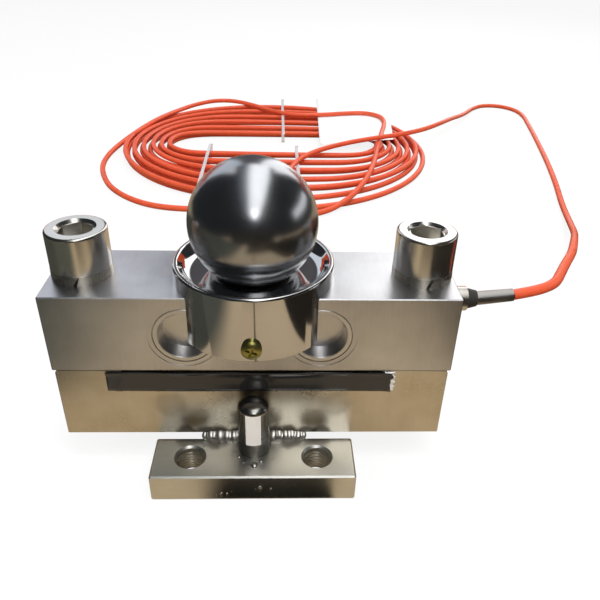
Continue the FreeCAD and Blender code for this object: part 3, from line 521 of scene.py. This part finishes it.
class LOADCELL_OT_stage(Operator):
    """Sets up the floor, the room's light and the camera"""

    bl_idname = "loadcell.stage"
    bl_label = "Stage"

    def execute(self, context):
        stage = context.scene.load_cell_stage
        self.make_world(context, stage)
        self.make_floor(stage)
        self.make_cards()
        self.make_lamps()
        self.make_camera(context, stage)
        context.scene.view_settings.view_transform = "Standard"
        return {"FINISHED"}

    def make_world(self, context, stage):
        """A white room: plain white to the eye and in mirrors, softer as light."""
        world = bpy.data.worlds.new("white_room")
        world.use_nodes = True
        tree = world.node_tree
        tree.nodes.clear()
        ray = add(tree, "ShaderNodeLightPath").node.outputs
        seen = add(tree, "ShaderNodeMath", {0: ray["Is Glossy Ray"], 1: ray["Is Transmission Ray"]},
                   operation="MAXIMUM")
        seen = add(tree, "ShaderNodeMath", {0: ray["Is Camera Ray"], 1: seen}, operation="MAXIMUM")
        strength = add(tree, "ShaderNodeMapRange", {"Value": seen, "To Min": stage.sky, "To Max": 1.0})
        background = add(tree, "ShaderNodeBackground", {"Color": grey(1.0), "Strength": strength})
        add(tree, "ShaderNodeOutputWorld", {"Surface": background})
        context.scene.world = world

    def make_floor(self, stage):
        """A pale floor that the camera sees as white paper with the object's shadow on it."""
        material, tree = new_material("pale_floor")
        camera_ray = add(tree, "ShaderNodeLightPath", out="Is Camera Ray")
        tint = add(tree, "ShaderNodeMix", {MIX_FACTOR: camera_ray, MIX_FIRST: opaque(stage.floor),
                                           MIX_SECOND: grey(0.95)}, out=MIX_RESULT, data_type="RGBA")
        paper = add(tree, "ShaderNodeBsdfDiffuse", {"Color": tint})
        white = add(tree, "ShaderNodeEmission", {"Color": grey(1.0), "Strength": 1.0})
        share = add(tree, "ShaderNodeMath", {0: camera_ray, 1: 0.86}, operation="MULTIPLY")
        surface = add(tree, "ShaderNodeMixShader", {0: share, 1: paper, 2: white})
        add(tree, "ShaderNodeOutputMaterial", {"Surface": surface})
        bm = bmesh.new()
        bmesh.ops.create_grid(bm, x_segments=2, y_segments=2, size=6.0)
        floor = bpy.data.objects.new("studio_floor", mesh_from("studio_floor", bm))
        floor.data.materials.append(material)
        bpy.context.scene.collection.objects.link(floor)

    def make_cards(self):
        """Cards, walls and a ceiling round the cell, which only its mirror finishes show. They paint its
        reflections: the dark ones painted shade and shadows, the orange ones a painted reflection of the
        coil, the glowing ones painted highlights.
        """
        floor = opaque(bpy.context.scene.load_cell_stage.floor)
        # Dark cards that only mirrors see: painted shade in the reflections of the floor and the room.
        card = self.card_paint("painted_shade_card", 0, ((0.0, colour("#221f1b")),), glow=False)
        green = self.card_paint("painted_dull_shade_card", 0, ((0.0, colour("#3f403a")),), glow=False)
        left = self.card_paint("painted_shade_fade_left", 0, ((-0.18, colour("#4a4b44")), (-0.09, floor)),
                               glow=False)
        front = self.card_paint("painted_shade_fade_front", 1, ((-0.36, colour("#3a342c")), (-0.23, floor)),
                                glow=False)
        # A black band on the floor before the front foot bar: a painted shadow, seen only in the bar's front
        # face.
        black = colour("#100f0c")
        bar = self.card_paint("painted_shadow_card_bar", 0,
                              ((-0.04, floor), (-0.018, black), (0.047, black), (0.053, floor)), glow=False)
        body = self.card_paint("painted_shade_body", 0, ((0.0, colour("#34302b")),))
        # Dark walls at the sides and the front: painted shade, so that the ball and the cup show dark flanks.
        wall = self.card_paint("dark_wall", 0, ((0.0, colour("#2a2c2e")),))
        shaded = colour("#5a585b")
        # The rear wall: a painted reflection, light at the left, shaded in the middle and glowing at the
        # right, for the tops of the beam and the screws.
        reflection_paint = self.card_paint("painted_reflection_wall", 0, ((-0.66, colour("#ecf4ff", 1.02)), (-0.46, shaded),
                                                    (0.2, shaded), (0.45, grey(1.9))))
        # Orange cards behind the cell: a painted reflection of the coil.
        orange = self.card_paint("painted_coil_reflection", 0, ((0.0, colour("#c4502f")),))
        # Glowing cards, no lamps: painted highlights in the ball, the cup's lip, the screws and the weld.
        lamp = self.card_paint("painted_highlight_front", 0, ((0.0, grey(5.0)),))
        strip = self.card_paint("painted_highlight_right", 0, ((0.0, grey(1.2)),))
        # The ceiling glows, no lamp: dark at the sides and a bright strip, a painted highlight down the ball
        # and on the other mirror finishes.
        ceiling = self.card_paint("glowing_highlight_ceiling", 0, ((-0.9, colour("#33373d")), (-0.42, colour("#737982")),
                                                     (0.02, grey(2.2)), (0.76, grey(2.2)),
                                                     (1.0, colour("#60655f")), (1.15, colour("#2f312e"))))
        # On the floor, before the cell and along a thin seam: painted shade in the reflections of the front
        # faces, the cup and the ball.
        self.make_card("card_floor_left", left, (-0.9, -0.7, 0.001), (0.84, 0, 0), (0, 0.6, 0))
        self.make_card("card_floor_side_left", green, (-0.9, -0.1, 0.001), (0.74, 0, 0), (0, 0.575, 0))
        self.make_card("card_floor_front", front, (-0.06, -0.62, 0.0008), (0.23, 0, 0), (0, 0.4, 0))
        self.make_card("card_floor_right", card, (0.17, -0.6, 0.001), (0.6, 0, 0), (0, 0.54, 0))
        self.make_card("card_floor_side_right", card, (0.2, -0.06, 0.001), (0.57, 0, 0), (0, 0.5, 0))
        # Painted shadow in the front bar's reflection.
        self.make_card("card_bar", bar, (-0.072, -0.108, 0.0006), (0.14, 0, 0), (0, 0.043, 0))
        self.make_card("card_seam", card, (0.006, -0.3, 0.0012), (0.006, 0, 0), (0, 0.19, 0))
        self.make_card("card_body", body, (-0.4, -0.62, 0.0), (0.85, 0, 0), (0, 0, 0.27))
        # Painted reflection of the coil, seen only in the mirror finishes.
        self.make_card("card_coil_left", orange, (-0.7, 0.9, 0.14), (0.42, 0, 0), (0, 0, 0.26))
        self.make_card("card_coil_right", orange, (0.3, 0.9, 0.14), (0.42, 0, 0), (0, 0, 0.26))
        # Painted highlights: glowing cards that only mirrors see.
        self.make_card("card_painted_highlight_front", lamp, (0.02, -0.95, 0.7), (0.17, 0, 0), (0.0, 0.0, 0.38))
        self.make_card("card_painted_highlight_right", strip, (1.12, -0.2, 0.33), (0, 1.15, 0), (0, 0, 0.22))
        # Walls, rear wall and ceiling that only mirrors see: painted shade, painted reflections and a painted
        # highlight.
        self.make_card("wall_left", wall, (-0.95, -3.2, 0.0), (0, 4.3, 0), (0, 0, 2.4))
        self.make_card("wall_right", wall, (1.15, -3.2, 0.0), (0, 4.8, 0), (0, 0, 2.4))
        self.make_card("wall_front", wall, (-0.95, -3.2, 0.0), (2.1, 0, 0), (0, 0, 2.4))
        self.make_card("wall_rear", reflection_paint, (-3.0, 2.4, 0.0), (6.0, 0, 0), (0, 0, 2.4))
        self.make_card("ceiling", ceiling, (-0.95, -3.2, 2.4), (2.1, 0, 0), (0, 5.6, 0))

    def card_paint(self, name, axis, stops, glow=True):
        """A card painted along one axis: stops are places in metres with their colours, low to high.

        It glows evenly, so that no lamp shades it, unless glow is off.
        """
        material, tree = new_material(name)
        place = add(tree, "ShaderNodeTexCoord", out="Object")
        place = add(tree, "ShaderNodeSeparateXYZ", {0: place}, out=axis)
        shade = stops[0][1]
        for (start, _), (end, following) in zip(stops, stops[1:]):
            share = add(tree, "ShaderNodeMapRange", {"Value": place, "From Min": start, "From Max": end},
                        interpolation_type="SMOOTHSTEP")
            shade = add(tree, "ShaderNodeMix", {MIX_FACTOR: share, MIX_FIRST: shade, MIX_SECOND: following},
                        out=MIX_RESULT, data_type="RGBA")
        kind = "ShaderNodeEmission" if glow else "ShaderNodeBsdfDiffuse"
        add(tree, "ShaderNodeOutputMaterial", {"Surface": add(tree, kind, {"Color": shade})})
        return material

    def make_card(self, name, material, corner, first, second):
        """A flat card from one corner along two sides, in metres."""
        corner, first, second = Vector(corner), Vector(first), Vector(second)
        bm = bmesh.new()
        bm.faces.new([bm.verts.new(spot) for spot in
                      (corner, corner + first, corner + first + second, corner + second)])
        card = bpy.data.objects.new(name, mesh_from(name, bm))
        card.data.materials.append(material)
        bpy.context.scene.collection.objects.link(card)
        card.visible_camera = False
        card.visible_diffuse = False
        card.visible_shadow = False
        card.visible_transmission = False

    def make_lamps(self):
        """Softboxes that only light the object; its mirror finishes show the cards instead."""
        lamps = {
            "key_softbox": ((0.35, -0.55, 1.5), (0.05, 0.0, 0.1), 0.9, 14.0),
            "fill_softbox": ((-1.3, -0.5, 1.1), (0.0, 0.1, 0.05), 0.8, 6.0),
            "rear_softbox": ((0.6, 1.7, 1.3), (0.0, 0.3, 0.05), 1.1, 11.0),
            "strip_light": ((0.06, -0.35, 1.9), (0.0, 0.0, 0.15), 0.25, 7.0),
        }
        for name, (place, aim, size, watts) in lamps.items():
            data = bpy.data.lights.new(name, "AREA")
            data.size = size
            data.energy = watts
            lamp = bpy.data.objects.new(name, data)
            lamp.location = place
            lamp.rotation_euler = (Vector(aim) - Vector(place)).to_track_quat("-Z", "Y").to_euler()
            lamp.visible_glossy = False
            bpy.context.scene.collection.objects.link(lamp)

    def make_camera(self, context, stage):
        """In front of the cell and above it, looking down 31.5 degrees and 2.4 degrees to its right."""
        data = bpy.data.cameras.new("camera")
        data.sensor_width = 36
        data.lens = stage.lens
        data.clip_start = 0.01
        camera = bpy.data.objects.new("camera", data)
        right = Vector((0.99935234, -0.0277112, 0.02295624))
        up = Vector((-0.00508239, 0.52285523, 0.85240635))
        back = right.cross(up)
        turn = Matrix((right, up, back)).transposed().to_4x4()
        camera.matrix_world = Matrix.Translation(Vector((14.574, -333.497, 311.85)) * MM) @ turn
        bpy.context.scene.collection.objects.link(camera)
        context.scene.camera = camera


class LOADCELL_OT_cable(Operator):
    """Lays the orange cable from the gland to its coil and its stripped end"""

    bl_idname = "loadcell.cable"
    bl_label = "Cable"

    def execute(self, context):
        cable = context.scene.load_cell_cable
        sheath = extruded_sheath("extruded_polyurethane_sheath", cable.sheath)
        curve, start = make_cord(cable)
        cord = new_piece("orange_cable", curve, sheath)
        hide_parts("cable_run", "cable_coil", "cable_end")
        carried = [frame["nodes"][name] for name in frame["record"]["physics"]["cord_nodes"]
                   if name.startswith(("core_", "gland", "cable_sleeve", "cable_entry"))]
        carried += [self.make_tie(word) for word in ("front", "left", "rear")]
        carried.append(self.make_tag())
        dress("cable_entry", sheath)
        cores = {"red": "#b3261e", "green": "#1f6b3a", "white": "#e8e6e0", "black": "#1b1b1d"}
        for word, shade in cores.items():
            dress(f"core_{word}", moulded(f"extruded_pvc_core_{word}", shade, 0.4, 0.6))
        return {"FINISHED"}

    def make_tie(self, word):
        """A narrow strip of film drawn round the two layers of strands."""
        low, high = span(f"cable_tie_{word}")
        top, bottom, corner, thick = 15.4, 0.35, 3.0, 0.35
        near, far = low.y + 1.5, high.y - 1.5
        loop = []
        corners = ((far - corner, top - corner, 0), (near + corner, top - corner, 90),
                   (near + corner, bottom + corner, 180), (far - corner, bottom + corner, 270))
        for middle_y, middle_z, start in corners:
            for step in range(5):
                angle = math.radians(start + 22.5 * step)
                loop.append((middle_y + corner * math.cos(angle), middle_z + corner * math.sin(angle),
                             math.cos(angle), math.sin(angle)))
        bm = bmesh.new()
        rings = []
        for index, (y, z, out_y, out_z) in enumerate(loop):
            wander = 0.8 * math.sin(index * 1.3)
            ring = [(low.x + wander, 0.0), (high.x + wander, 0.0), (high.x + wander, thick),
                    (low.x + wander, thick)]
            rings.append([bm.verts.new(Vector((x, y + out_y * rise, z + out_z * rise)) * MM)
                          for x, rise in ring])
        for first, second in zip(rings, rings[1:] + rings[:1]):
            for j in range(4):
                k = (j + 1) % 4
                bm.faces.new((first[j], first[k], second[k], second[j]))
        name = f"tie_film_{word}"
        tie = new_piece(name, mesh_from(name, bm), milky_film(f"polythene_{name}", "#f4f4f6"),
                        smooth=False)
        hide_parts(f"cable_tie_{word}")
        return tie

    def make_tag(self):
        """A blank paper tag that lies on the rear strands, under the loose one."""
        across, along, thick = 20, 30, 0.3
        rest, floor_gap = 15.3, 0.4
        droop, bent, slope = 0.0016, 60, 0.19
        near_left, near_right = Vector((78, 606)), Vector((196, 636))
        far_left, far_right = Vector((86, 882)), Vector((220, 862))
        middle = (COIL_LOW + COIL_HIGH) / 2
        half = (COIL_HIGH - COIL_LOW) / 2
        bm = bmesh.new()
        sheets = []
        for rise in (0.0, thick):
            grid = []
            for i in range(across + 1):
                line = []
                for j in range(along + 1):
                    u, v = i / across, j / along
                    spot = near_left.lerp(near_right, u).lerp(far_left.lerp(far_right, u), v)
                    edge = middle.y + half.y * math.sqrt(1 - min(1.0, abs(spot.x - middle.x) / half.x) ** 2)
                    past = max(0.0, spot.y - edge)
                    sag = droop * min(past, bent) ** 2 + slope * max(0.0, past - bent)
                    ripple = 0.22 * math.sin(spot.y * 0.55) * math.sin(math.pi * u)
                    z = max(floor_gap, rest - sag) + ripple + rise
                    line.append(bm.verts.new(Vector((spot.x, spot.y, z)) * MM))
                grid.append(line)
            sheets.append(grid)
            cover(bm, grid)
        close_border(bm, *sheets)
        paper = moulded("blank_tag_paper", "#f6f6f5", 0.6, 1.2, uneven=0.02)
        return new_piece("blank_tag", mesh_from("blank_tag", bm), paper)


class LOADCELL_OT_blocks(Operator):
    """Gives the beam and the base block their machined and plated finish"""

    bl_idname = "loadcell.blocks"
    bl_label = "Blocks"

    def execute(self, context):
        metal = context.scene.load_cell_metal
        bright, dull = opaque(metal.nickel), opaque(metal.nickel_shade)
        dress("elastic_beam", plated_steel("face_milled_nickel_plated_steel", colour("#e2e3e6"),
                                                 colour("#c6c6c8"), (0.9, 14, 22)))
        front = BASE_LOW.y
        foot = BASE_LOW.z
        tints = [
            ((0, front, foot + 12), 20, "#514a40", 0.75),
            ((0, front, foot + 32), 14, "#75684f", 0.5),
            ((-52, front, foot + 24), 13, "#6f6a58", 0.3),
            ((52, front, foot + 24), 13, "#6f6a58", 0.3),
        ]
        # A row of dark spots along the block's foot: painted shade of the gap between the block and the foot
        # bars, with weld burn where the runs meet it.
        tints += [((x, front, foot), 8, "#3b352d", 0.75) for x in (-44, -33, -22, -11, 11, 22, 33, 44)]
        tints += [((x, -y, z), reach, shade, strength) for (x, y, z), reach, shade, strength in tints]
        dress("base_block", plated_steel("ground_nickel_plated_steel", bright, dull, (3, 9, 40), tints,
                                              gloss=0.24, lines=0.07))
        return {"FINISHED"}


class LOADCELL_OT_feet(Operator):
    """Finishes the foot bars, their rods, threads and welds"""

    bl_idname = "loadcell.feet"
    bl_label = "Feet"

    def execute(self, context):
        metal = context.scene.load_cell_metal
        bright, dull = opaque(metal.nickel), opaque(metal.nickel_shade)
        weld = polished_metal("weld_metal_of_steel_wire", colour("#f6f3ec"), colour("#cfc9bd"), 0.2,
                              0.14)
        thread = plated_steel("tapped_steel_thread", dull, dull, (2, 2, 2), gloss=0.3)
        for word, sign in FACES.items():
            low, high = span(f"foot_bar_{word}")
            inner = high.y if sign < 0 else low.y
            tints = [((-24, inner, high.z), 12, "#5b5347", 0.7), ((24, inner, high.z), 12, "#5b5347", 0.7),
                     ((0, inner, high.z), 17, "#4a443b", 0.8)]
            sawn = plated_steel(f"sawn_nickel_plated_bar_{word}", colour("#efeee8"), colour("#d8d8d1"),
                                (16, 3, 0.8), tints, gloss=0.32)
            dress(f"foot_bar_{word}", sawn)
            rod_low = span(f"stop_rod_{word}")[0]
            scorch = [((0, rod_low.y, rod_low.z + 3), 14, "#3d3730", 0.6)]
            turned = plated_steel(f"turned_steel_rod_{word}", colour("#c4c3bd"), colour("#918e86"),
                                  (20, 20, 0.5), scorch, gloss=0.2)
            dress(f"stop_rod_{word}", turned)
            self.make_weld(word, sign, metal, weld)
            for side_word, side in SIDES.items():
                self.make_thread(word, side_word, side, metal, thread)
        self.make_spatter(weld)
        dress("rod_sticker", moulded("blank_coated_paper", "#f6f5f3", 0.55, 0.7, uneven=0.05))
        return {"FINISHED"}

    def make_weld(self, word, sign, metal, material):
        """Two runs of weld whose passes lie over each other like fallen coins, thinner at the outer end."""
        low, high = span(f"weld_beads_{word}")
        middle = (low + high) / 2
        bm = bmesh.new()
        draw = random.Random(3)
        ripple = metal.weld_ripple / MM
        first, last = 10.5, high.x - 2.2
        body_radii, coin_radii, lean_degrees = (11.5, 3.9, 2.3), (4.3, 4.9, 2.5), -21
        count = int((last - first) / ripple) + 1
        tilt = Matrix.Rotation(math.radians(sign * -45), 4, "X")
        for side in (-1, 1):
            body = Matrix.Translation(Vector((side * 20.5, middle.y, middle.z - 0.3)) * MM)
            bmesh.ops.create_uvsphere(bm, u_segments=32, v_segments=16, radius=1.0, matrix=body @ tilt
                                      @ Matrix.Diagonal((*(radius * MM for radius in body_radii), 1)))
            for index in range(count):
                x = side * (first + (index + draw.uniform(-0.16, 0.16)) * ripple)
                size = 1 - 0.42 * clamp((index - count * 0.45) / (count * 0.55), 0, 1) ** 1.5
                size *= draw.uniform(0.92, 1.07)
                aside, rise = draw.uniform(-0.25, 0.25), draw.uniform(0, 0.3)
                place = Vector((x, middle.y + aside, middle.z + rise)) * MM
                lean = Matrix.Rotation(math.radians(side * (lean_degrees + draw.uniform(-4, 4))), 4, "Y")
                swing = Matrix.Rotation(math.radians(draw.uniform(-12, 12)), 4, "Z")
                coin = Matrix.Diagonal((*(radius * size * MM for radius in coin_radii), 1))
                bmesh.ops.create_uvsphere(bm, u_segments=24, v_segments=14, radius=1.0,
                                          matrix=Matrix.Translation(place) @ tilt @ swing @ lean @ coin)
        piece = new_piece(f"weld_runs_{word}", mesh_from(f"weld_runs_{word}", bm), material)
        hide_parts(f"weld_beads_{word}")

    def make_spatter(self, material):
        """Beads of weld spatter that stick to the front bar and to the foot of its rod."""
        low, high = span("foot_bar_front")
        top = [(0.6, -55.0, 2.4), (4.6, -51.6, 1.3), (-9.4, -47.5, 1.2), (-12.4, -43.8, 0.9),
               (-32.0, -38.5, 0.7), (11.8, -49.8, 0.5), (-6.3, -52.2, 0.6)]
        front = [(4.2, 9.9, 1.8), (10.9, 9.2, 1.1), (1.4, 9.3, 0.6), (-19.6, 5.0, 1.4), (-16.2, 4.9, 1.2),
                 (-13.6, 7.2, 0.7), (-22.6, 3.9, 0.6), (26.0, 13.0, 0.4)]
        bm = bmesh.new()
        beads = [(x, y, high.z, size, (size, size, 0.62 * size)) for x, y, size in top]
        beads += [(x, low.y, z, size, (0.8 * size, 0.62 * size, 1.3 * size)) for x, z, size in front]
        for x, y, z, size, radii in beads:
            bead = Matrix.Diagonal((*(radius * MM for radius in radii), 1))
            matrix = Matrix.Translation(Vector((x, y, z)) * MM) @ bead
            bmesh.ops.create_uvsphere(bm, u_segments=16, v_segments=10, radius=1.0, matrix=matrix)
        new_piece("weld_spatter", mesh_from("weld_spatter", bm), material)

    def make_thread(self, word, side_word, side, metal, material):
        """The ridges of the thread inside a tapped hole of a foot bar."""
        low, high = span(f"foot_bar_{word}")
        centre = Vector((side * 40, (low.y + high.y) / 2, 0))
        pitch = metal.thread_pitch / MM
        radius, steps, start, rise = 8.72, 28, low.z + 1.6, high.z - low.z - 4.4
        turns = rise / pitch
        count = int(turns * steps)
        path = []
        for index in range(count + 1):
            angle = 2 * math.pi * index / steps
            path.append(centre + Vector((radius * math.cos(angle), radius * math.sin(angle),
                                         start + rise * index / count)))
        bm = bmesh.new()
        rings = []
        for point in path:
            out = (Vector((point.x, point.y, 0)) - centre).normalized()
            profile = [point + out * 0.03 + Vector((0, 0, 0.85)), point - out * 0.62,
                       point + out * 0.03 - Vector((0, 0, 0.85))]
            rings.append([bm.verts.new(spot * MM) for spot in profile])
        for first, second in zip(rings, rings[1:]):
            for j in range(3):
                k = (j + 1) % 3
                bm.faces.new((first[j], first[k], second[k], second[j]))
        bm.faces.new(rings[0])
        bm.faces.new(rings[-1])
        name = f"thread_{word}_{side_word}"
        new_piece(name, mesh_from(name, bm), material, smooth=False)


class LOADCELL_OT_ball_and_cup(Operator):
    """Polishes the ball, its seat and the chromed cup"""

    bl_idname = "loadcell.ball_and_cup"
    bl_label = "Ball and cup"

    def execute(self, context):
        bearing = polished_metal("polished_bearing_steel", colour("#bcbec2"), colour("#a3a5a8"), 0.17, 0.07)
        dress("load_ball", bearing)
        hardened = polished_metal("hardened_ground_steel", colour("#8c8880"), colour("#6d6961"), 0.25)
        dress("ball_seat", hardened)
        chrome = polished_metal("chromium_plated_steel", colour("#d8d8d8"), colour("#c6c6c5"), 0.05, 0.04)
        dress("ball_cup", chrome)
        return {"FINISHED"}


class LOADCELL_OT_screws(Operator):
    """Finishes the clamp screws, their washers and the cup's screws"""

    bl_idname = "loadcell.screws"
    bl_label = "Screws"

    def execute(self, context):
        nickel = polished_metal("nickel_plated_cap_screw", colour("#eceae4"), colour("#d0ccc3"), 0.15, 0.1)
        spring = polished_metal("nickel_plated_spring_steel", colour("#dcd5c8"), colour("#b3aa9a"), 0.18,
                                0.12)
        for word in SIDES:
            dress(f"clamp_screw_{word}", nickel)
            dress(f"spring_washer_{word}", spring)
        zinc = polished_metal("yellow_passivated_zinc", colour("#c9c07a"), colour("#8d8a3f"), 0.22, 0.15)
        for word in FACES:
            dress(f"cup_screw_{word}", zinc)
        return {"FINISHED"}


class LOADCELL_OT_gauge_pockets(Operator):
    """Finishes the sealing cups and what they cover"""

    bl_idname = "loadcell.gauge_pockets"
    bl_label = "Gauge pockets"

    def execute(self, context):
        pressed = polished_metal("pressed_stainless_cup", colour("#e8e8ea"), colour("#cfcecd"), 0.26, 0.1)
        foil = moulded("constantan_foil_on_polyimide", "#c78a3c", 0.35)
        board = moulded("glass_epoxy_board", "#1f5a34", 0.4)
        for side in SIDES:
            dress(f"terminal_board_{side}", board)
            for face in FACES:
                dress(f"gauge_cover_{side}_{face}", pressed)
                dress(f"strain_gauge_{side}_{face}", foil)
        dress("lead_wires", moulded("ptfe_lead_insulation", "#c9c7c1", 0.4))
        return {"FINISHED"}


class LOADCELL_OT_gland(Operator):
    """Finishes the cable gland, its rubber seal and the sleeve"""

    bl_idname = "loadcell.gland"
    bl_label = "Gland"

    def execute(self, context):
        brass = polished_metal("turned_nickel_brass", colour("#e4e0d8"), colour("#bdb8ae"), 0.16, 0.1)
        dress("gland_body", brass)
        dress("gland_seal", moulded("moulded_nitrile_rubber", "#34322f", 0.55, 0.5))
        drawn = polished_metal("drawn_steel_sleeve", colour("#bdbab6"), colour("#8d8a86"), 0.22, 0.2)
        dress("cable_sleeve", drawn)
        return {"FINISHED"}


class LOADCELL_OT_label(Operator):
    """Lays the bare black tape on the front of the cell, with its curled edge and torn end"""

    bl_idname = "loadcell.label"
    bl_label = "Label tape"

    def execute(self, context):
        tape = moulded("glossy_vinyl_tape", "#29292a", 0.16, 1.6, clear=0.4)
        columns, rows = 88, 8
        curl_height, crease_height, end_lift = 1.4, 0.6, 0.8
        face = LABEL_HIGH.y
        height = LABEL_HIGH.z - LABEL_LOW.z
        draw = random.Random(5)
        tear = [draw.uniform(0, 2.6) for _ in range(rows + 1)]
        bm = bmesh.new()
        sheets = []
        for lift in (0.0, 0.16):
            grid = []
            for i in range(columns + 1):
                t = i / columns
                line = []
                for j in range(rows + 1):
                    s = j / rows
                    right_edge = LABEL_HIGH.x - tear[j]
                    x = LABEL_LOW.x + (right_edge - LABEL_LOW.x) * t
                    curl = curl_height * max(0.0, (s - 0.74) / 0.26) ** 2 * (0.75 + 0.35 * math.sin(x * 0.11))
                    crease = crease_height * math.exp(-((x - LABEL_LOW.x - 7 - 5 * s) / 1.6) ** 2)
                    ends = end_lift * max(0.0, (t - 0.965) / 0.035) ** 2
                    z = LABEL_LOW.z + height * s + 0.25 * math.sin(x * 0.045) * (1 - s)
                    y = face - 0.06 - lift - curl - crease - ends
                    line.append(bm.verts.new(Vector((x, y, z)) * MM))
                grid.append(line)
            sheets.append(grid)
            cover(bm, grid)
        close_border(bm, *sheets)
        piece = new_piece("label_tape", mesh_from("label_tape", bm), tape)
        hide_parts("label_strip")
        self.make_torn_end()
        return {"FINISHED"}

    def make_torn_end(self):
        """The white backing that shows past the torn right end of the tape."""
        backing = moulded("white_tape_backing", "#f4f4f2", 0.5, 0.8)
        rows = 12
        draw = random.Random(9)
        tear = [draw.uniform(-1.4, 0.6) for _ in range(rows + 1)]
        bm = bmesh.new()
        sheets = []
        for lift in (0.01, 0.05):
            grid = [[bm.verts.new(Vector((x, LABEL_HIGH.y - lift,
                                          LABEL_LOW.z + (LABEL_HIGH.z - LABEL_LOW.z) * j / rows)) * MM)
                     for j, x in enumerate(column)]
                    for column in ([LABEL_HIGH.x - 6.0] * (rows + 1), [LABEL_HIGH.x - 3.0] * (rows + 1),
                                   [LABEL_HIGH.x + 0.8 + bite for bite in tear])]
            sheets.append(grid)
            cover(bm, grid)
        close_border(bm, *sheets)
        new_piece("tape_backing", mesh_from("tape_backing", bm), backing)


class LOADCELL_PT_panel(Panel):
    """Lists the operators that dress the load cell"""

    bl_idname = "LOADCELL_PT_panel"
    bl_label = "Load Cell"
    bl_space_type = "VIEW_3D"
    bl_region_type = "UI"
    bl_category = "Load Cell"

    def draw(self, context):
        for settings in (context.scene.load_cell_stage, context.scene.load_cell_cable,
                         context.scene.load_cell_metal):
            box = self.layout.box()
            for name in settings.__annotations__:
                box.prop(settings, name)
        for operator in OPERATORS:
            self.layout.operator(operator.bl_idname)


OPERATORS = (
    LOADCELL_OT_stage,
    LOADCELL_OT_cable,
    LOADCELL_OT_blocks,
    LOADCELL_OT_feet,
    LOADCELL_OT_ball_and_cup,
    LOADCELL_OT_screws,
    LOADCELL_OT_gauge_pockets,
    LOADCELL_OT_gland,
    LOADCELL_OT_label,
)
CLASSES = (LoadCellCable, LoadCellMetal, LoadCellStage, *OPERATORS, LOADCELL_PT_panel)


def register():
    """Registers the classes and hangs the settings on the scene."""
    for made in CLASSES:
        bpy.utils.register_class(made)
    bpy.types.Scene.load_cell_cable = PointerProperty(type=LoadCellCable)
    bpy.types.Scene.load_cell_metal = PointerProperty(type=LoadCellMetal)
    bpy.types.Scene.load_cell_stage = PointerProperty(type=LoadCellStage)


def unregister():
    """Takes away what register added."""
    del bpy.types.Scene.load_cell_stage
    del bpy.types.Scene.load_cell_metal
    del bpy.types.Scene.load_cell_cable
    for made in reversed(CLASSES):
        bpy.utils.unregister_class(made)


def main():
    """Dresses the whole cell."""
    register()
    for operator in OPERATORS:
        group, name = operator.bl_idname.split(".")
        getattr(getattr(bpy.ops, group), name)()


if __name__ == "__main__":
    main()
